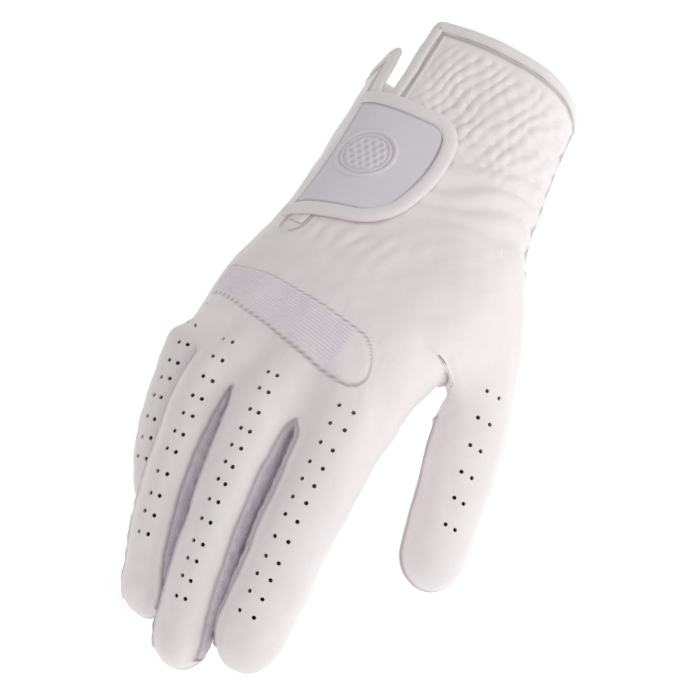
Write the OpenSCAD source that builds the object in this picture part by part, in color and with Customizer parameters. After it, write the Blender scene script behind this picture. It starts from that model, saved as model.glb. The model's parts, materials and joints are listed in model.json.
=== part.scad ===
/* [Hand] */
// Length from the hem to the fork of the middle and index fingers
palm_length = 138; // [120:1:160]
// Width of the hem
hem_width = 64; // [58:1:78]
// Depth of the hem, back to palm
hem_depth = 48; // [42:1:54]
// Width of the wrist
wrist_width = 71; // [62:1:80]
// Depth of the wrist
wrist_depth = 38; // [34:1:44]
// Width across the knuckles
knuckle_width = 80; // [72:1:96]
// Depth at the knuckles
knuckle_depth = 35; // [30:1:42]

/* [Digits] */
// Little finger, fork to tip
little_length = 56; // [48:1:68]
// Ring finger, fork to tip
ring_length = 77; // [66:1:90]
// Middle finger, fork to tip
middle_length = 82; // [70:1:96]
// Index finger, fork to tip
index_length = 76; // [64:1:88]
// Thumb, fork to tip
thumb_length = 51; // [44:1:60]
// Thickness of a finger at its root
finger_depth = 19; // [16:0.5:22]
// Share of its width that a finger keeps at the tip
finger_taper = 0.84; // [0.7:0.02:1]

/* [Leather and cloth] */
// Thickness of the leather
leather = 0.8; // [0.6:0.1:1.2]
// Thickness of the knit and elastic
knit = 0.6; // [0.4:0.1:1]
// Width of the folded binding
binding_width = 4; // [3:0.5:6]
// Thickness of the folded binding
binding_depth = 1.6; // [1.2:0.1:2.4]

/* [Closure] */
// Length of the slit from the hem
slit_length = 83; // [64:1:90]
// Half of the gap of the slit at the hem
slit_gap = 4; // [2:0.5:5]
// Length of the closure tab along the slit
tab_length = 51; // [42:1:60]
// Reach of the closure tab across the back
tab_reach = 36; // [30:1:42]
// Distance of the tab from the hem
tab_start = 30; // [24:1:34]
// Diameter of the round relief on the tab
emblem_width = 20; // [14:1:24]
// Height of the round relief
emblem_height = 0.7; // [0.4:0.1:1.2]

/* [Knuckle band] */
// Width of the elastic band over the knuckles
band_width = 12; // [8:1:16]
// Length of the elastic band
band_length = 57; // [46:1:64]

/* [Movement] */
// Furthest bend of a finger at its root
root_bend = 25; // [20:5:40]
// Furthest bend of a finger at its middle
middle_bend = 35; // [20:5:50]
// Furthest straightening of a finger joint
straighten = 15; // [5:1:20]
// Half of the gap between two moving sleeves
joint_gap = 0.4; // [0.3:0.1:1]
little_gap = 1.8;  // more room at the little finger, whose root sits deepest between its neighbours

/* [Hidden] */
// The hem is at y = hem_y, the fingers point to -Y and the thumb is on the +X side.
hem_y = palm_length - 28;
pole = 0.03;  // the last ring of a tip, as a share of its width
cloth_gap = 0.3;  // between layers that lie on each other
sewn_gap = 0.15;  // between layers that are sewn to each other

DIGITS = ["little", "ring", "middle", "index", "thumb"];
HALVES = ["lower", "upper"];

WHITE = [0.93, 0.915, 0.905];
GREY_KNIT = [0.72, 0.68, 0.74];
LILAC = [0.87, 0.83, 0.88];
TAB_CLOTH = [0.80, 0.785, 0.82];

// ---- small helpers ----
function mix(a, b, t) = a + (b - a) * t;
function unit(v) = v / norm(v);
function sign1(x) = x < 0 ? -1 : 1;
// Smooth curve through the stations st = [[place, values...], ...]
function through(st, u) =
    let (n = len(st),
         k = max([for (i = [0:n - 2]) u >= st[i][0] || i == 0 ? i : 0]),
         a = st[max(k - 1, 0)], b = st[k], c = st[k + 1], d = st[min(k + 2, n - 1)],
         w = c[0] - b[0], t = (u - b[0]) / w,
         m0 = (c - a) / max(c[0] - a[0], 1e-6) * w,
         m1 = (d - b) / max(d[0] - b[0], 1e-6) * w)
    b * (2 * t ^ 3 - 3 * t ^ 2 + 1) + m0 * (t ^ 3 - 2 * t ^ 2 + t)
    + c * (3 * t ^ 2 - 2 * t ^ 3) + m1 * (t ^ 3 - t ^ 2);
// Rounded box outline: across from 0 to 1 along a side, [x, z] for half sizes a and b
function lid(x, a, b, n) = b * (1 - min(1, abs(x / a)) ^ n) ^ (1 / n);

// ---- hand ----
// distance from the hem, centre x, centre z, half width, half depth, roll
HAND = [
    [0, -10, 24.5, hem_width / 2, hem_depth / 2, 0],
    [50, -6, 26, wrist_width / 2, wrist_depth / 2, -4],
    [75, -3, 28.5, knuckle_width * 0.50, knuckle_depth * 0.54, -8],
    [100, -7, 31.5, knuckle_width * 0.52, knuckle_depth * 0.53, -13],
    [120, -10, 33, knuckle_width * 0.49, knuckle_depth / 2, -16],
    [138, -12, 32, knuckle_width * 0.46, finger_depth / 2, -18]];
hand_row_at = [0, 4, 18, 33, 48, 62, 74, 86, 97, 108, 121] * palm_length / 138;
last_hand_row = len(hand_row_at);
thumb_row = 5;  // the thumb's root takes four rows from here
edge = 0.86;  // where the top of an outline ends and its side begins
slit_col = 2;  // the slit follows this line of the back
// Outline of the hand: 0 to 16 over the back, to 20 down the thumb side, to 36 under the palm, to 40 up the other side
function outline(k, a, b, n = 2.3) =
    let (j = (k + 40) % 40, zb = lid(a * edge, a, b, n))
    j <= 16 ? (let (x = a * edge * (j / 8 - 1)) [x, lid(x, a, b, n)])
    : j < 20 ? (let (z = zb * (1 - (j - 16) / 2)) [lid(z, b, a, n), z])
    : j <= 36 ? (let (x = a * edge * (1 - (j - 20) / 8)) [x, -lid(x, a, b, n)])
    : (let (z = zb * ((j - 36) / 2 - 1)) [-lid(z, b, a, n), z]);
function hand_place(u, q) =
    let (h = through(HAND, u * 138 / palm_length), c = cos(h[5]), s = sin(h[5]))
    [h[1] + q[0] * c + q[1] * s, hem_y - u, h[2] - q[0] * s + q[1] * c];
function hand_point(u, k) =
    let (h = through(HAND, u * 138 / palm_length)) hand_place(u, outline(k, h[3], h[4]));

// ---- digits ----
// root centre, lean to the thumb side, roll of its back to the little finger's side, bends at rest, length,
// half width, half depth
FORK = hem_y - palm_length;
DIGIT = [
    [[-45, FORK + 16, 20], 2, 34, [0, 12, 26, 36], little_length, 8.6, finger_depth * 0.46],
    [[-30, FORK + 3, 32.5], 0.6, 20, [4, 16, 29, 37], ring_length, 9.2, finger_depth / 2],
    [[-10.6, FORK - 3, 38.5], 3.4, 6, [6, 18, 31, 38], middle_length, 9.6, finger_depth / 2],
    [[14.2, FORK - 3, 40], 3.0, -6, [5, 18, 32, 39], index_length, 11.4, finger_depth / 2],
    [[42, FORK + 26, 20.5], 17, -28, [8, 14, 14, 12], thumb_length, 10.6, 10.2]];
root_hinge = 5;  // from the fork to the first hinge
function mid_hinge(d) = 0.46 * DIGIT[d][4];
function last_bend(d) = 0.74 * DIGIT[d][4];
function stations(d) = [0, root_hinge, mid_hinge(d), last_bend(d)];
// Bend below level of the part of a digit that holds the distance s
function pitch(d, s) =
    let (p = DIGIT[d][3], h = stations(d), w = 5)
    s < root_hinge ? p[0] : s < mid_hinge(d) ? p[1]
    : mix(p[2], p[3], max(0, min(1, (s - h[3] + w) / (2 * w))));
// A digit bends about its own across line, which its roll tilts
function level(d) = let (l = DIGIT[d][1]) [cos(l), sin(l), 0];
function across(d) = level(d) * cos(DIGIT[d][2]) + [0, 0, sin(DIGIT[d][2])];
function above(d) = [0, 0, cos(DIGIT[d][2])] - level(d) * sin(DIGIT[d][2]);
function heading(d, p) = let (l = DIGIT[d][1]) [sin(l), -cos(l), 0] * cos(p) - above(d) * sin(p);
function centre(d, s) =
    let (h = stations(d), p = DIGIT[d][3],
         a = DIGIT[d][0] + heading(d, p[0]) * min(s, h[1]),
         b = a + heading(d, p[1]) * max(0, min(s, h[2]) - h[1]),
         c = b + heading(d, p[2]) * max(0, min(s, h[3]) - h[2]))
    c + heading(d, p[3]) * max(0, s - h[3]);
// Share of the full width at distance s: a gentle taper, then a round tip
function girth(d, s) =
    let (l = DIGIT[d][4], r = DIGIT[d][5], t = min(1, s / l), q = (l - s) / r)
    mix(1, finger_taper, t) * (q < 1 ? max(pole, sqrt(max(0, 1 - (1 - q) ^ 2))) : 1);
// Outline of a digit: 0 to 4 over the back, to 8 down the thumb side, to 12 under the palm, to 16 up the other side
function ring_outline(j, a, b, n = 2.2) =
    let (i = (j + 16) % 16, zb = lid(a * 0.8, a, b, n))
    i <= 4 ? (let (x = a * 0.8 * (i / 2 - 1)) [x, lid(x, a, b, n)])
    : i < 8 ? (let (z = zb * (1 - (i - 4) / 2)) [lid(z, b, a, n), z])
    : i <= 12 ? (let (x = a * 0.8 * (1 - (i - 8) / 2)) [x, -lid(x, a, b, n)])
    : (let (z = zb * ((i - 12) / 2 - 1)) [-lid(z, b, a, n), z]);
// Point j of the ring at s, leant by slope on its palm and back halves so that two rings can fold
function digit_point(d, s, j, palm_slope = 0, back_slope = 0) =
    let (p = pitch(d, s), f = heading(d, p), e = across(d), up = cross(f, e), g = girth(d, s),
         q = ring_outline(j, DIGIT[d][5] * g, DIGIT[d][6] * g))
    centre(d, s) + e * q[0] + up * q[1] + f * (q[1] < 0 ? -q[1] * palm_slope : q[1] * back_slope);
// Slopes of a sleeve's end at a hinge that bends by most, given the bend at rest
function palm_slope(rest, most) = tan((rest + most) / 2);
function back_slope(rest) = tan(max(0, straighten - rest) / 2);
function rest_bend(d, h) = let (p = DIGIT[d][3]) p[h] - p[h - 1];

// ---- last row of the hand: the roots of the four fingers, joined at the forks ----
function root_ring(d, j) =
    digit_point(d, root_hinge - joint_gap, j, -palm_slope(rest_bend(d, 1), root_bend),
                -back_slope(rest_bend(d, 1)));
function root_point(k) =
    let (j = (k + 40) % 40)
    j <= 16 ? (j % 4 == 0 && j > 0 && j < 16
               ? (root_ring(j / 4 - 1, 4) + root_ring(j / 4, 0)) / 2
               : let (d = min(3, floor(j / 4))) root_ring(d, j - 4 * d))
    : j < 20 ? root_ring(3, j - 12)
    : j <= 36 ? (let (b = 36 - j)
                 b % 4 == 0 && b > 0 && b < 16
                 ? (root_ring(b / 4 - 1, 8) + root_ring(b / 4, 12)) / 2
                 : let (d = min(3, floor(b / 4))) root_ring(d, 12 - (b - 4 * d)))
    : root_ring(0, j - 24);
// Half of the gap of the slit at u, and the width of one column of the back there
function slit_open(u) = u < slit_length ? slit_gap * (1 - u / slit_length) : 0;
function column(u) = through(HAND, u * 138 / palm_length)[3] * edge / 8;
// Columns beside the slit draw together to leave room for the gap and the binding.
// side is 1 on the thumb side of the slit and -1 on the little finger's side.
function beside_slit(u, k, side) =
    let (j = k > 34 ? k - 40 : k, w = (slit_open(u) + binding_width) / column(u))
    side == 0 || u >= slit_length ? k
    : side > 0 && j >= slit_col && j < slit_col + 5
        ? mix(slit_col + w, slit_col + 5, (j - slit_col) / 5)
    : side < 0 && j <= slit_col && j > fold - 40
        ? mix(fold - 40, slit_col - w, (j - fold + 40) / (slit_col - fold + 40))
    : k;
seam = 18;  // the palm meets the back along this line of the thumb side
fold = 37;  // and along this one on the little finger's side
function hand_grid(side) = [
    for (r = [0:last_hand_row]) [
        for (k = [0:39]) r < last_hand_row
            ? hand_point(hand_row_at[r], beside_slit(hand_row_at[r], k, side)) : root_point(k)]];

// Normal of a grid of points at row r, column k, pointing out of the glove
function grid_normal(g, r, k) =
    let (n = len(g), m = len(g[0]),
         a = g[r][(k + 1) % m] - g[r][(k + m - 1) % m],
         b = g[min(n - 1, r + 1)][k] - g[max(0, r - 1)][k])
    unit(cross(b, a));
function inward(g, wall) =
    [for (r = [0:len(g) - 1]) [for (k = [0:len(g[0]) - 1]) g[r][k] - grid_normal(g, r, k) * wall]];

// Solid between the grids top and low, of the cells for which has(row, column) is true.
// With wrap the last column joins the first.
module sheet(top, low, has, wrap = true) {
    n = len(top);
    m = len(top[0]);
    cols = wrap ? m : m - 1;
    pts = concat([for (row = top) each row], [for (row = low) each row]);
    half = n * m;
    function at(r, k) = r * m + (k + m) % m;
    function cell(r, k) =
        r >= 0 && r < n - 1 && (wrap || (k >= 0 && k < cols)) && has(r, (k + cols) % cols);
    function quad(a, b, c, d) = [[a, b, c], [a, c, d]];
    faces = [
        for (r = [0:n - 2]) for (k = [0:cols - 1]) if (cell(r, k))
            let (a = at(r, k), b = at(r, k + 1), c = at(r + 1, k + 1), d = at(r + 1, k))
            each concat(
                quad(a, b, c, d),
                quad(half + d, half + c, half + b, half + a),
                cell(r - 1, k) ? [] : quad(a, half + a, half + b, b),
                cell(r, k + 1) ? [] : quad(b, half + b, half + c, c),
                cell(r + 1, k) ? [] : quad(c, half + c, half + d, d),
                cell(r, k - 1) ? [] : quad(d, half + d, half + a, a))];
    polyhedron(pts, faces, convexity = 6);
}

// The whole model stands on z = 0 with the middle of its box on the Z axis.
thumb_bend = 25;  // furthest bend of the thumb at either hinge
thumb_rows = 5;  // rows of its root
// The folded leather of the hem runs round from the thumb side of the slit to the other side
hem_cols = concat([slit_col + slit_gap / column(0)], [for (k = [4:36]) k],
                  [slit_col + 39.8 - (slit_gap + binding_width) / column(0)]);
GRID = hand_grid(0);
OUTER = concat([for (k = hem_cols) lifted(0, k, cloth_gap)], [for (row = GRID) each row],
               [for (d = [0:4]) for (s = upper_rows(d)) for (j = [0:15]) digit_point(d, s, j)],
               [for (row = thumb_root_grid()) each row]);
function least(i) = min([for (p = OUTER) p[i]]);
function most(i) = max([for (p = OUTER) p[i]]);
BASE = [(least(0) + most(0)) / 2, (least(1) + most(1)) / 2, least(2)];
module placed() translate(-BASE) children();

// ---- hand panels ----
slit_rows = len([for (u = hand_row_at) if (u < slit_length) u]) - 1;
function in_thumb(r, k) = r >= thumb_row && r < thumb_row + 4 && k >= 16 && k < 20;
module hand_part(side, has, wall = leather) {
    g = hand_grid(side);
    placed() sheet(g, inward(g, wall), has);
}
elastic_rows = [1, 3];
elastic_cols = [9, 16];
function in_elastic(r, k) =
    r >= elastic_rows[0] && r < elastic_rows[1] && k >= elastic_cols[0] && k < elastic_cols[1];
module back_panel() color(WHITE)
    hand_part(1, function(r, k) r >= 1 && !in_thumb(r, k) && !in_elastic(r, k)
        && (r < slit_rows + 1 ? k >= slit_col && k < seam : k >= fold || k < seam));
module palm_panel() color(WHITE)
    hand_part(0, function(r, k) r >= 1 && !in_thumb(r, k) && k >= seam && k < fold);
module side_flap() color(WHITE)
    hand_part(-1, function(r, k) r >= 1 && r < slit_rows + 1 && (k >= fold || k < slit_col));
module wrist_elastic() color(WHITE)
    hand_part(1, function(r, k) in_elastic(r, k), binding_depth);

// ---- strips and patches that follow the hand ----
function slope_at(u, k) =
    let (a = hand_point(u, k + 0.1) - hand_point(u, k - 0.1),
         b = hand_point(u + 0.5, k) - hand_point(u - 0.5, k))
    unit(cross(b, a));
function lifted(u, k, h) = hand_point(u, k) + slope_at(u, k) * h;
// Sheet over the grid at of [distance from the hem, column], between two heights above the hand
module layer(at, low, high, has = function(r, k) true, wrap = false)
    placed() sheet([for (row = at) [for (p = row) lifted(p[0], p[1], high)]],
                   [for (row = at) [for (p = row) lifted(p[0], p[1], low)]], has, wrap);

module cuff_binding() color(WHITE)
    layer([for (u = [0, binding_width]) [for (k = hem_cols) [u, k]]],
          cloth_gap - binding_depth, cloth_gap);

slit_steps = 16;
// The binding ends in a point where the edges of the slit close
function strip_edge(u) =
    let (a = hand_row_at[slit_rows], b = hand_row_at[slit_rows + 1])
    min(slit_open(u) + binding_width * 0.82,
        u < a ? slit_length : (slit_open(a) + binding_width) * (b - u) / (b - a) - 2 * cloth_gap);
module slit_binding(side) {
    from = side > 0 ? binding_width : 0;
    layer([for (i = [0:slit_steps])
              let (u = mix(from, slit_length - 1, i / slit_steps), c = column(u),
                   a = slit_col + side * slit_open(u) / c,
                   b = slit_col + side * strip_edge(u) / c)
              side > 0 ? [[u, a], [u, b]] : [[u, b], [u, a]]],
          cloth_gap - binding_depth, cloth_gap);
}
module slit_binding_thumb_side() color(WHITE) slit_binding(1);
module slit_binding_little_side() color(WHITE) slit_binding(-1);

// Round patch about [u, k], of radius rad in mm
function disc(u, k, rad, rings = 3, n = 16) = [
    for (i = [0:rings]) [for (j = [0:n - 1])
        let (q = rad * max(0.05, 1 - i / rings), t = -360 * j / n)
        [u + q * sin(t), k + q * cos(t) / column(u)]]];
keyhole_radius = 5;
module keyhole_patch() color(WHITE)
    layer(disc(slit_length + keyhole_radius + 0.5, slit_col, keyhole_radius), cloth_gap, 1, wrap = true);

band_at = 0.82 * palm_length;  // where the band crosses the middle of the back
band_skew = 0.22;  // how far its thumb end lies nearer the fingers
module knuckle_band() color(LILAC)
    layer([for (v = [-0.5:0.25:0.5]) [
              for (i = [0:12])
                  let (t = i / 12, last = max(0, (t - 0.9) / 0.1),
                       x = (t - 0.53) * band_length,
                       half = sqrt(max(0.05, 1 - last ^ 2)))
                  [band_at + band_skew * x + v * band_width * half, 8 + x / column(band_at)]]],
          cloth_gap, cloth_gap + knit);

// ---- closure tab ----
// t runs across from the fixed edge, q along the slit away from the hem
tab_lift = 1.6;  // the tab clears the slit's bindings
tab_root = slit_col - 1.5;
function tab_end(q) =
    tab_reach * (1 - 0.16 * max(0, (0.3 - q) / 0.3) ^ 2 - 0.2 * max(0, (q - 0.7) / 0.3) ^ 2);
tab_skew = 9;  // the free end is narrower by this much
tab_slant = 5;  // and starts this much further from the hem
function tab_at(t, q, rim = 0) =
    let (u = tab_start + tab_slant * t + mix(rim, tab_length - rim - tab_skew * t, q),
         x = mix(rim, tab_end(q) - rim, t))
    [u, tab_root + x / column(u)];
function tab_grid(rim, rows = 8, cols = 10) =
    [for (i = [0:rows]) [for (j = [0:cols]) tab_at(j / cols, i / rows, rim)]];
binding_step = 1;  // thickness of the folded leather round the tab
module tab_backing() color(WHITE)
    layer(tab_grid(0), tab_lift, tab_lift + leather);
module tab_face() color(TAB_CLOTH)
    layer(tab_grid(binding_width + sewn_gap), tab_lift + leather + sewn_gap, tab_lift + leather + sewn_gap + knit);
// The binding is a loop of two outlines: the tab's edge and the edge of the cloth
function tab_loop(rim) =
    let (g = tab_grid(rim), n = len(g) - 1, m = len(g[0]) - 1)
    concat([for (j = [0:m]) g[0][j]], [for (i = [1:n]) g[i][m]],
           [for (j = [m - 1:-1:0]) g[n][j]], [for (i = [n - 1:-1:1]) g[i][0]]);
module tab_binding() color(WHITE)
    layer([tab_loop(0), tab_loop(binding_width - sewn_gap)], tab_lift + leather + sewn_gap,
          tab_lift + leather + binding_step, wrap = true);
tab_middle = [tab_start + tab_length * 0.47, tab_root + tab_reach * 0.37 / column(tab_start)];
module tab_emblem() color(TAB_CLOTH) {
    ring = disc(tab_middle[0], tab_middle[1], emblem_width / 2, 5, 28);
    base = tab_lift + leather + knit + 2 * sewn_gap;
    layer(ring, base, base + emblem_height,
          function(r, k) r == 0 || r == 2 || (r == 4), wrap = true);
}
patch_share = 0.55;  // the hook and loop patches lie under the free part of the tab
function patch_grid(from, to) =
    [for (i = [0:4]) [for (j = [0:6]) tab_at(mix(from, to, j / 6), mix(0.22, 0.78, i / 4))]];
module hook_patch() color("white")
    layer(patch_grid(patch_share, 0.92), tab_lift - knit, tab_lift - sewn_gap);
module loop_patch() color("white")
    layer(patch_grid(patch_share - 0.1, 0.95), cloth_gap, tab_lift - knit - cloth_gap);

// ---- fingers and thumb ----
function digit_grid(d, list, palm_a, back_a, palm_b, back_b) =
    [for (i = [0:len(list) - 1]) [for (j = [0:15])
        digit_point(d, list[i], j,
                    i == 0 ? palm_a : i == len(list) - 1 ? -palm_b : 0,
                    i == 0 ? back_a : i == len(list) - 1 ? -back_b : 0)]];
function lower_rows(d) =
    let (a = root_hinge + joint_gap + (d == 0 ? little_gap : 0), b = mid_hinge(d) - joint_gap)
    [for (i = [0:3]) mix(a, b, i / 3)];
function upper_rows(d) =
    let (a = mid_hinge(d) + joint_gap, l = DIGIT[d][4], r = DIGIT[d][5])
    concat([for (i = [0:4]) mix(a, l - r, i / 4)],
           [for (q = [0.35, 0.62, 0.82, 0.94, 1]) l - r * (1 - q)]);
upper_round = 4;  // the round tip starts at this row
module sleeve(d, half, has) {
    low = half == "lower";
    rb = rest_bend(d, 1);
    mb = rest_bend(d, 2);
    top = d == 4 ? thumb_bend : middle_bend;
    first = d == 4 ? thumb_bend : root_bend;
    g = low ? digit_grid(d, lower_rows(d), palm_slope(rb, first), back_slope(rb),
                         palm_slope(mb, top), back_slope(mb))
            : digit_grid(d, upper_rows(d), palm_slope(mb, top), back_slope(mb), 0, 0);
    wall = leather;
    placed() sheet(g, inward(g, wall), function(r, j) has(low ? 0 : r, j));
}
// A side is knit between two fingers and leather on the outside of the hand
function knit_side(d, j) =
    (j >= 4 && j < 8 && d < 3) || (j >= 12 && d > 0 && d < 4);
module digit_back(d, half) color(WHITE)
    sleeve(d, half, function(r, j)
        (j < 6 || j >= 14) && !(r < upper_round + 2 && knit_side(d, j)));
module digit_palm(d, half) color(WHITE)
    sleeve(d, half, function(r, j)
        j >= 6 && j < 14 && !(r < upper_round + 2 && knit_side(d, j)));
module digit_sides(d, half) color(GREY_KNIT)
    sleeve(d, half, function(r, j) r < upper_round + 2 && knit_side(d, j));

// The thumb's root runs from the four edges of its opening in the hand to its first ring
function opening_point(g, j) =
    j <= 4 ? g[thumb_row + 4 - j][16]
    : j <= 8 ? g[thumb_row][12 + j]
    : j <= 12 ? g[thumb_row + j - 8][20]
    : g[thumb_row + 4][32 - j];
function thumb_root_grid() =
    let (g = GRID, rb = rest_bend(4, 1), f = heading(4, pitch(4, 0)))
    [for (i = [0:thumb_rows]) [for (j = [0:15])
        let (t = i / thumb_rows, a = opening_point(g, j),
             b = digit_point(4, root_hinge - joint_gap, j, -palm_slope(rb, thumb_bend),
                             -back_slope(rb)),
             leave = [22, -10, -3], arrive = f * 30)
        a * (2 * t ^ 3 - 3 * t ^ 2 + 1) + leave * (t ^ 3 - 2 * t ^ 2 + t)
        + b * (3 * t ^ 2 - 2 * t ^ 3) + arrive * (t ^ 3 - t ^ 2)]];
module thumb_base() color(WHITE) {
    g = thumb_root_grid();
    placed() sheet(g, inward(g, leather), function(r, j) true);
}

// ---- drawing ----
back_panel();
palm_panel();
side_flap();
knuckle_band();
cuff_binding();
slit_binding_thumb_side();
slit_binding_little_side();
keyhole_patch();
wrist_elastic();
loop_patch();
thumb_base();
tab_backing();
tab_face();
tab_binding();
tab_emblem();
hook_patch();
for (d = [0:4]) for (h = HALVES) {
    digit_back(d, h);
    digit_palm(d, h);
    if (d < 4) digit_sides(d, h);
}
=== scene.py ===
"""A right-hand golf glove of white leather, filled out as if worn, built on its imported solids."""
import json
import math
import bmesh
import bpy
import numpy as np
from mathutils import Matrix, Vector
from mathutils.bvhtree import BVHTree
from mathutils.kdtree import KDTree


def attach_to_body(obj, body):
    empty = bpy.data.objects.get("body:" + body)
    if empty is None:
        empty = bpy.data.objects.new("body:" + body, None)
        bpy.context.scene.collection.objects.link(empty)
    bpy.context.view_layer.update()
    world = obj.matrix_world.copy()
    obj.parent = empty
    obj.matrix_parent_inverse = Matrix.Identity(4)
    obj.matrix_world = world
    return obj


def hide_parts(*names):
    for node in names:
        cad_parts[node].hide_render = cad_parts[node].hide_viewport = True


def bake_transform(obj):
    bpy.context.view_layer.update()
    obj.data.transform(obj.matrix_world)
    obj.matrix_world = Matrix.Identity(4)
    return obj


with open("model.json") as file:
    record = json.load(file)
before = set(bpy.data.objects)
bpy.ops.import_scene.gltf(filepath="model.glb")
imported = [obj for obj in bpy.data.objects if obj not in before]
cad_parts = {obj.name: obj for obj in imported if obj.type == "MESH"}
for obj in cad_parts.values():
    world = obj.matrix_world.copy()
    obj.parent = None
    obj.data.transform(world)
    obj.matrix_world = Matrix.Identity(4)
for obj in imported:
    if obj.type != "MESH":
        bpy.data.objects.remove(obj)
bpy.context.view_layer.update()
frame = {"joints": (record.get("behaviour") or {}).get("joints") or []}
MM = 0.001

# ---------------------------------------------------------------- shape of the hand and the digits, in mm
PALM = 138.0            # hem to the fork of the middle and index fingers
HEM_Y = PALM - 28
FORK = HEM_Y - PALM
SLIT_LENGTH, SLIT_GAP, SLIT_COL = 83.0, 4.0, 2
TAPER = 0.84            # share of its width that a finger keeps at its tip
EDGE = 0.86             # where the back of the hand's outline ends and its side begins
LEATHER, KNIT, BINDING = 0.8, 0.6, 4.0
SEAM_COL, FOLD_COL = 18, 37
# distance from the hem, centre x, centre z, half width, half depth, roll
HAND = np.array([
    [0, -10, 24.5, 32, 24, 0], [50, -6, 26, 35.5, 19, -4], [75, -3, 28.5, 40, 18.9, -8],
    [100, -7, 31.5, 41.6, 18.55, -13], [120, -10, 33, 39.2, 17.5, -16], [138, -12, 32, 36.8, 9.5, -18]], float)
# root centre, lean to the thumb side, roll, bends at rest, length, half width, half depth
DIGIT = {
    "little": ((-45, FORK + 16, 20), 2, 34, (0, 12, 26, 36), 56, 8.6, 8.74),
    "ring": ((-30, FORK + 3, 32.5), 0.6, 20, (4, 16, 29, 37), 77, 9.2, 9.5),
    "middle": ((-10.6, FORK - 3, 38.5), 3.4, 6, (6, 18, 31, 38), 82, 9.6, 9.5),
    "index": ((14.2, FORK - 3, 40), 3.0, -6, (5, 18, 32, 39), 76, 11.4, 9.5),
    "thumb": ((42, FORK + 26, 20.5), 17, -28, (8, 14, 14, 12), 51, 10.6, 10.2)}
FINGERS = ["little", "ring", "middle", "index"]
HINGE = 5.0             # from a digit's root to its first hinge
BEND_SPREAD = 6.0       # fabric on either side of the middle hinge that shares the bend


def unit(v):
    return v / max(np.linalg.norm(v), 1e-9)


def mix(a, b, t):
    return a + (b - a) * t


def smooth(t):
    t = np.clip(t, 0.0, 1.0)
    return t * t * (3 - 2 * t)


def through(stations, u):
    """Smooth curve through the rows of stations, whose first number is their place."""
    n = len(stations)
    k = max([i for i in range(n - 1) if u >= stations[i][0]] or [0])
    a, b, c, d = stations[max(k - 1, 0)], stations[k], stations[k + 1], stations[min(k + 2, n - 1)]
    w = c[0] - b[0]
    t = (u - b[0]) / w
    m0, m1 = (c - a) / (c[0] - a[0]) * w, (d - b) / (d[0] - b[0]) * w
    return (b * (2 * t ** 3 - 3 * t ** 2 + 1) + m0 * (t ** 3 - 2 * t ** 2 + t)
            + c * (3 * t ** 2 - 2 * t ** 3) + m1 * (t ** 3 - t ** 2))


def lid(x, a, b, n):
    return b * (1 - min(1.0, abs(x / a)) ** n) ** (1 / n)


def rounded(j, a, b, n, across, down, share, far_share=None):
    """Outline of a rounded box: over the top, down one side, back under it and up the other side."""
    far_share = far_share or share
    zb = lid(a * share, a, b, n)
    if j <= across:
        x = a * mix(-far_share, share, j / across)
        return x, lid(x, a, b, n)
    if j < across + down:
        z = zb * (1 - 2 * (j - across) / down)
        return lid(z, b, a, n), z
    if j <= 2 * across + down:
        x = a * mix(share, -far_share, (j - across - down) / across)
        return x, -lid(x, a, b, n)
    zb = lid(a * far_share, a, b, n)
    z = zb * (2 * (j - 2 * across - down) / down - 1)
    return -lid(z, b, a, n), z


def hand_point(u, k):
    h = through(HAND, u)
    x, z = rounded(k % 40, h[3], h[4], 2.3, 16, 4, EDGE)
    c, s = math.cos(math.radians(h[5])), math.sin(math.radians(h[5]))
    return np.array([h[1] + x * c + z * s, HEM_Y - u, h[2] - x * s + z * c])


def hand_normal(u, k):
    a = hand_point(u, k + 0.1) - hand_point(u, k - 0.1)
    b = hand_point(u + 0.5, k) - hand_point(u - 0.5, k)
    return unit(np.cross(b, a))


def column(u):
    return through(HAND, u)[3] * EDGE / 8


def slit_open(u):
    return SLIT_GAP * (1 - u / SLIT_LENGTH) if u < SLIT_LENGTH else 0.0


def beside_slit(u, k, side):
    """Columns beside the slit draw together to leave room for its gap."""
    j = k - 40 if k > 34 else k
    w = slit_open(u) / column(u)
    if side > 0 and SLIT_COL <= j < SLIT_COL + 5:
        return mix(SLIT_COL + w, SLIT_COL + 5, (j - SLIT_COL) / 5)
    if side < 0 and FOLD_COL - 40 < j <= SLIT_COL:
        return mix(FOLD_COL - 40, SLIT_COL - w, (j - FOLD_COL + 40) / (SLIT_COL - FOLD_COL + 40))
    return k


def sine(a):
    return math.sin(math.radians(a))


def cosine(a):
    return math.cos(math.radians(a))


def middle_hinge(d):
    return 0.46 * DIGIT[d][4]


def axes(d):
    """Across and above directions of a digit, which its lean and its roll give."""
    lean, roll = DIGIT[d][1:3]
    level = np.array([cosine(lean), sine(lean), 0])
    up = np.array([0, 0, 1.0])
    return level * cosine(roll) + up * sine(roll), up * cosine(roll) - level * sine(roll)


def heading(d, p):
    lean = DIGIT[d][1]
    return np.array([sine(lean), -cosine(lean), 0]) * cosine(p) - axes(d)[1] * sine(p)


def sharp_centre(d, s):
    root, bends, length = DIGIT[d][0], DIGIT[d][3], DIGIT[d][4]
    at = [0, HINGE, middle_hinge(d), 0.74 * length, 1e9]
    c = np.array(root, float) + heading(d, bends[0]) * min(s, 0)
    for i in range(4):
        c = c + heading(d, bends[i]) * max(0, min(s, at[i + 1]) - at[i])
    return c


def centre(d, s):
    """Middle line of a digit, eased round its hinges."""
    return np.mean([sharp_centre(d, s + e) for e in np.linspace(-5, 5, 9)], axis=0)


def girth(d, s):
    length, r = DIGIT[d][4:6]
    q = (length - s) / r
    tip = max(0.0, 1 - (1 - q) ** 2) ** 0.5 if q < 1 else 1.0
    return mix(1, TAPER, min(1, max(0, s / length))) * tip


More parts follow.
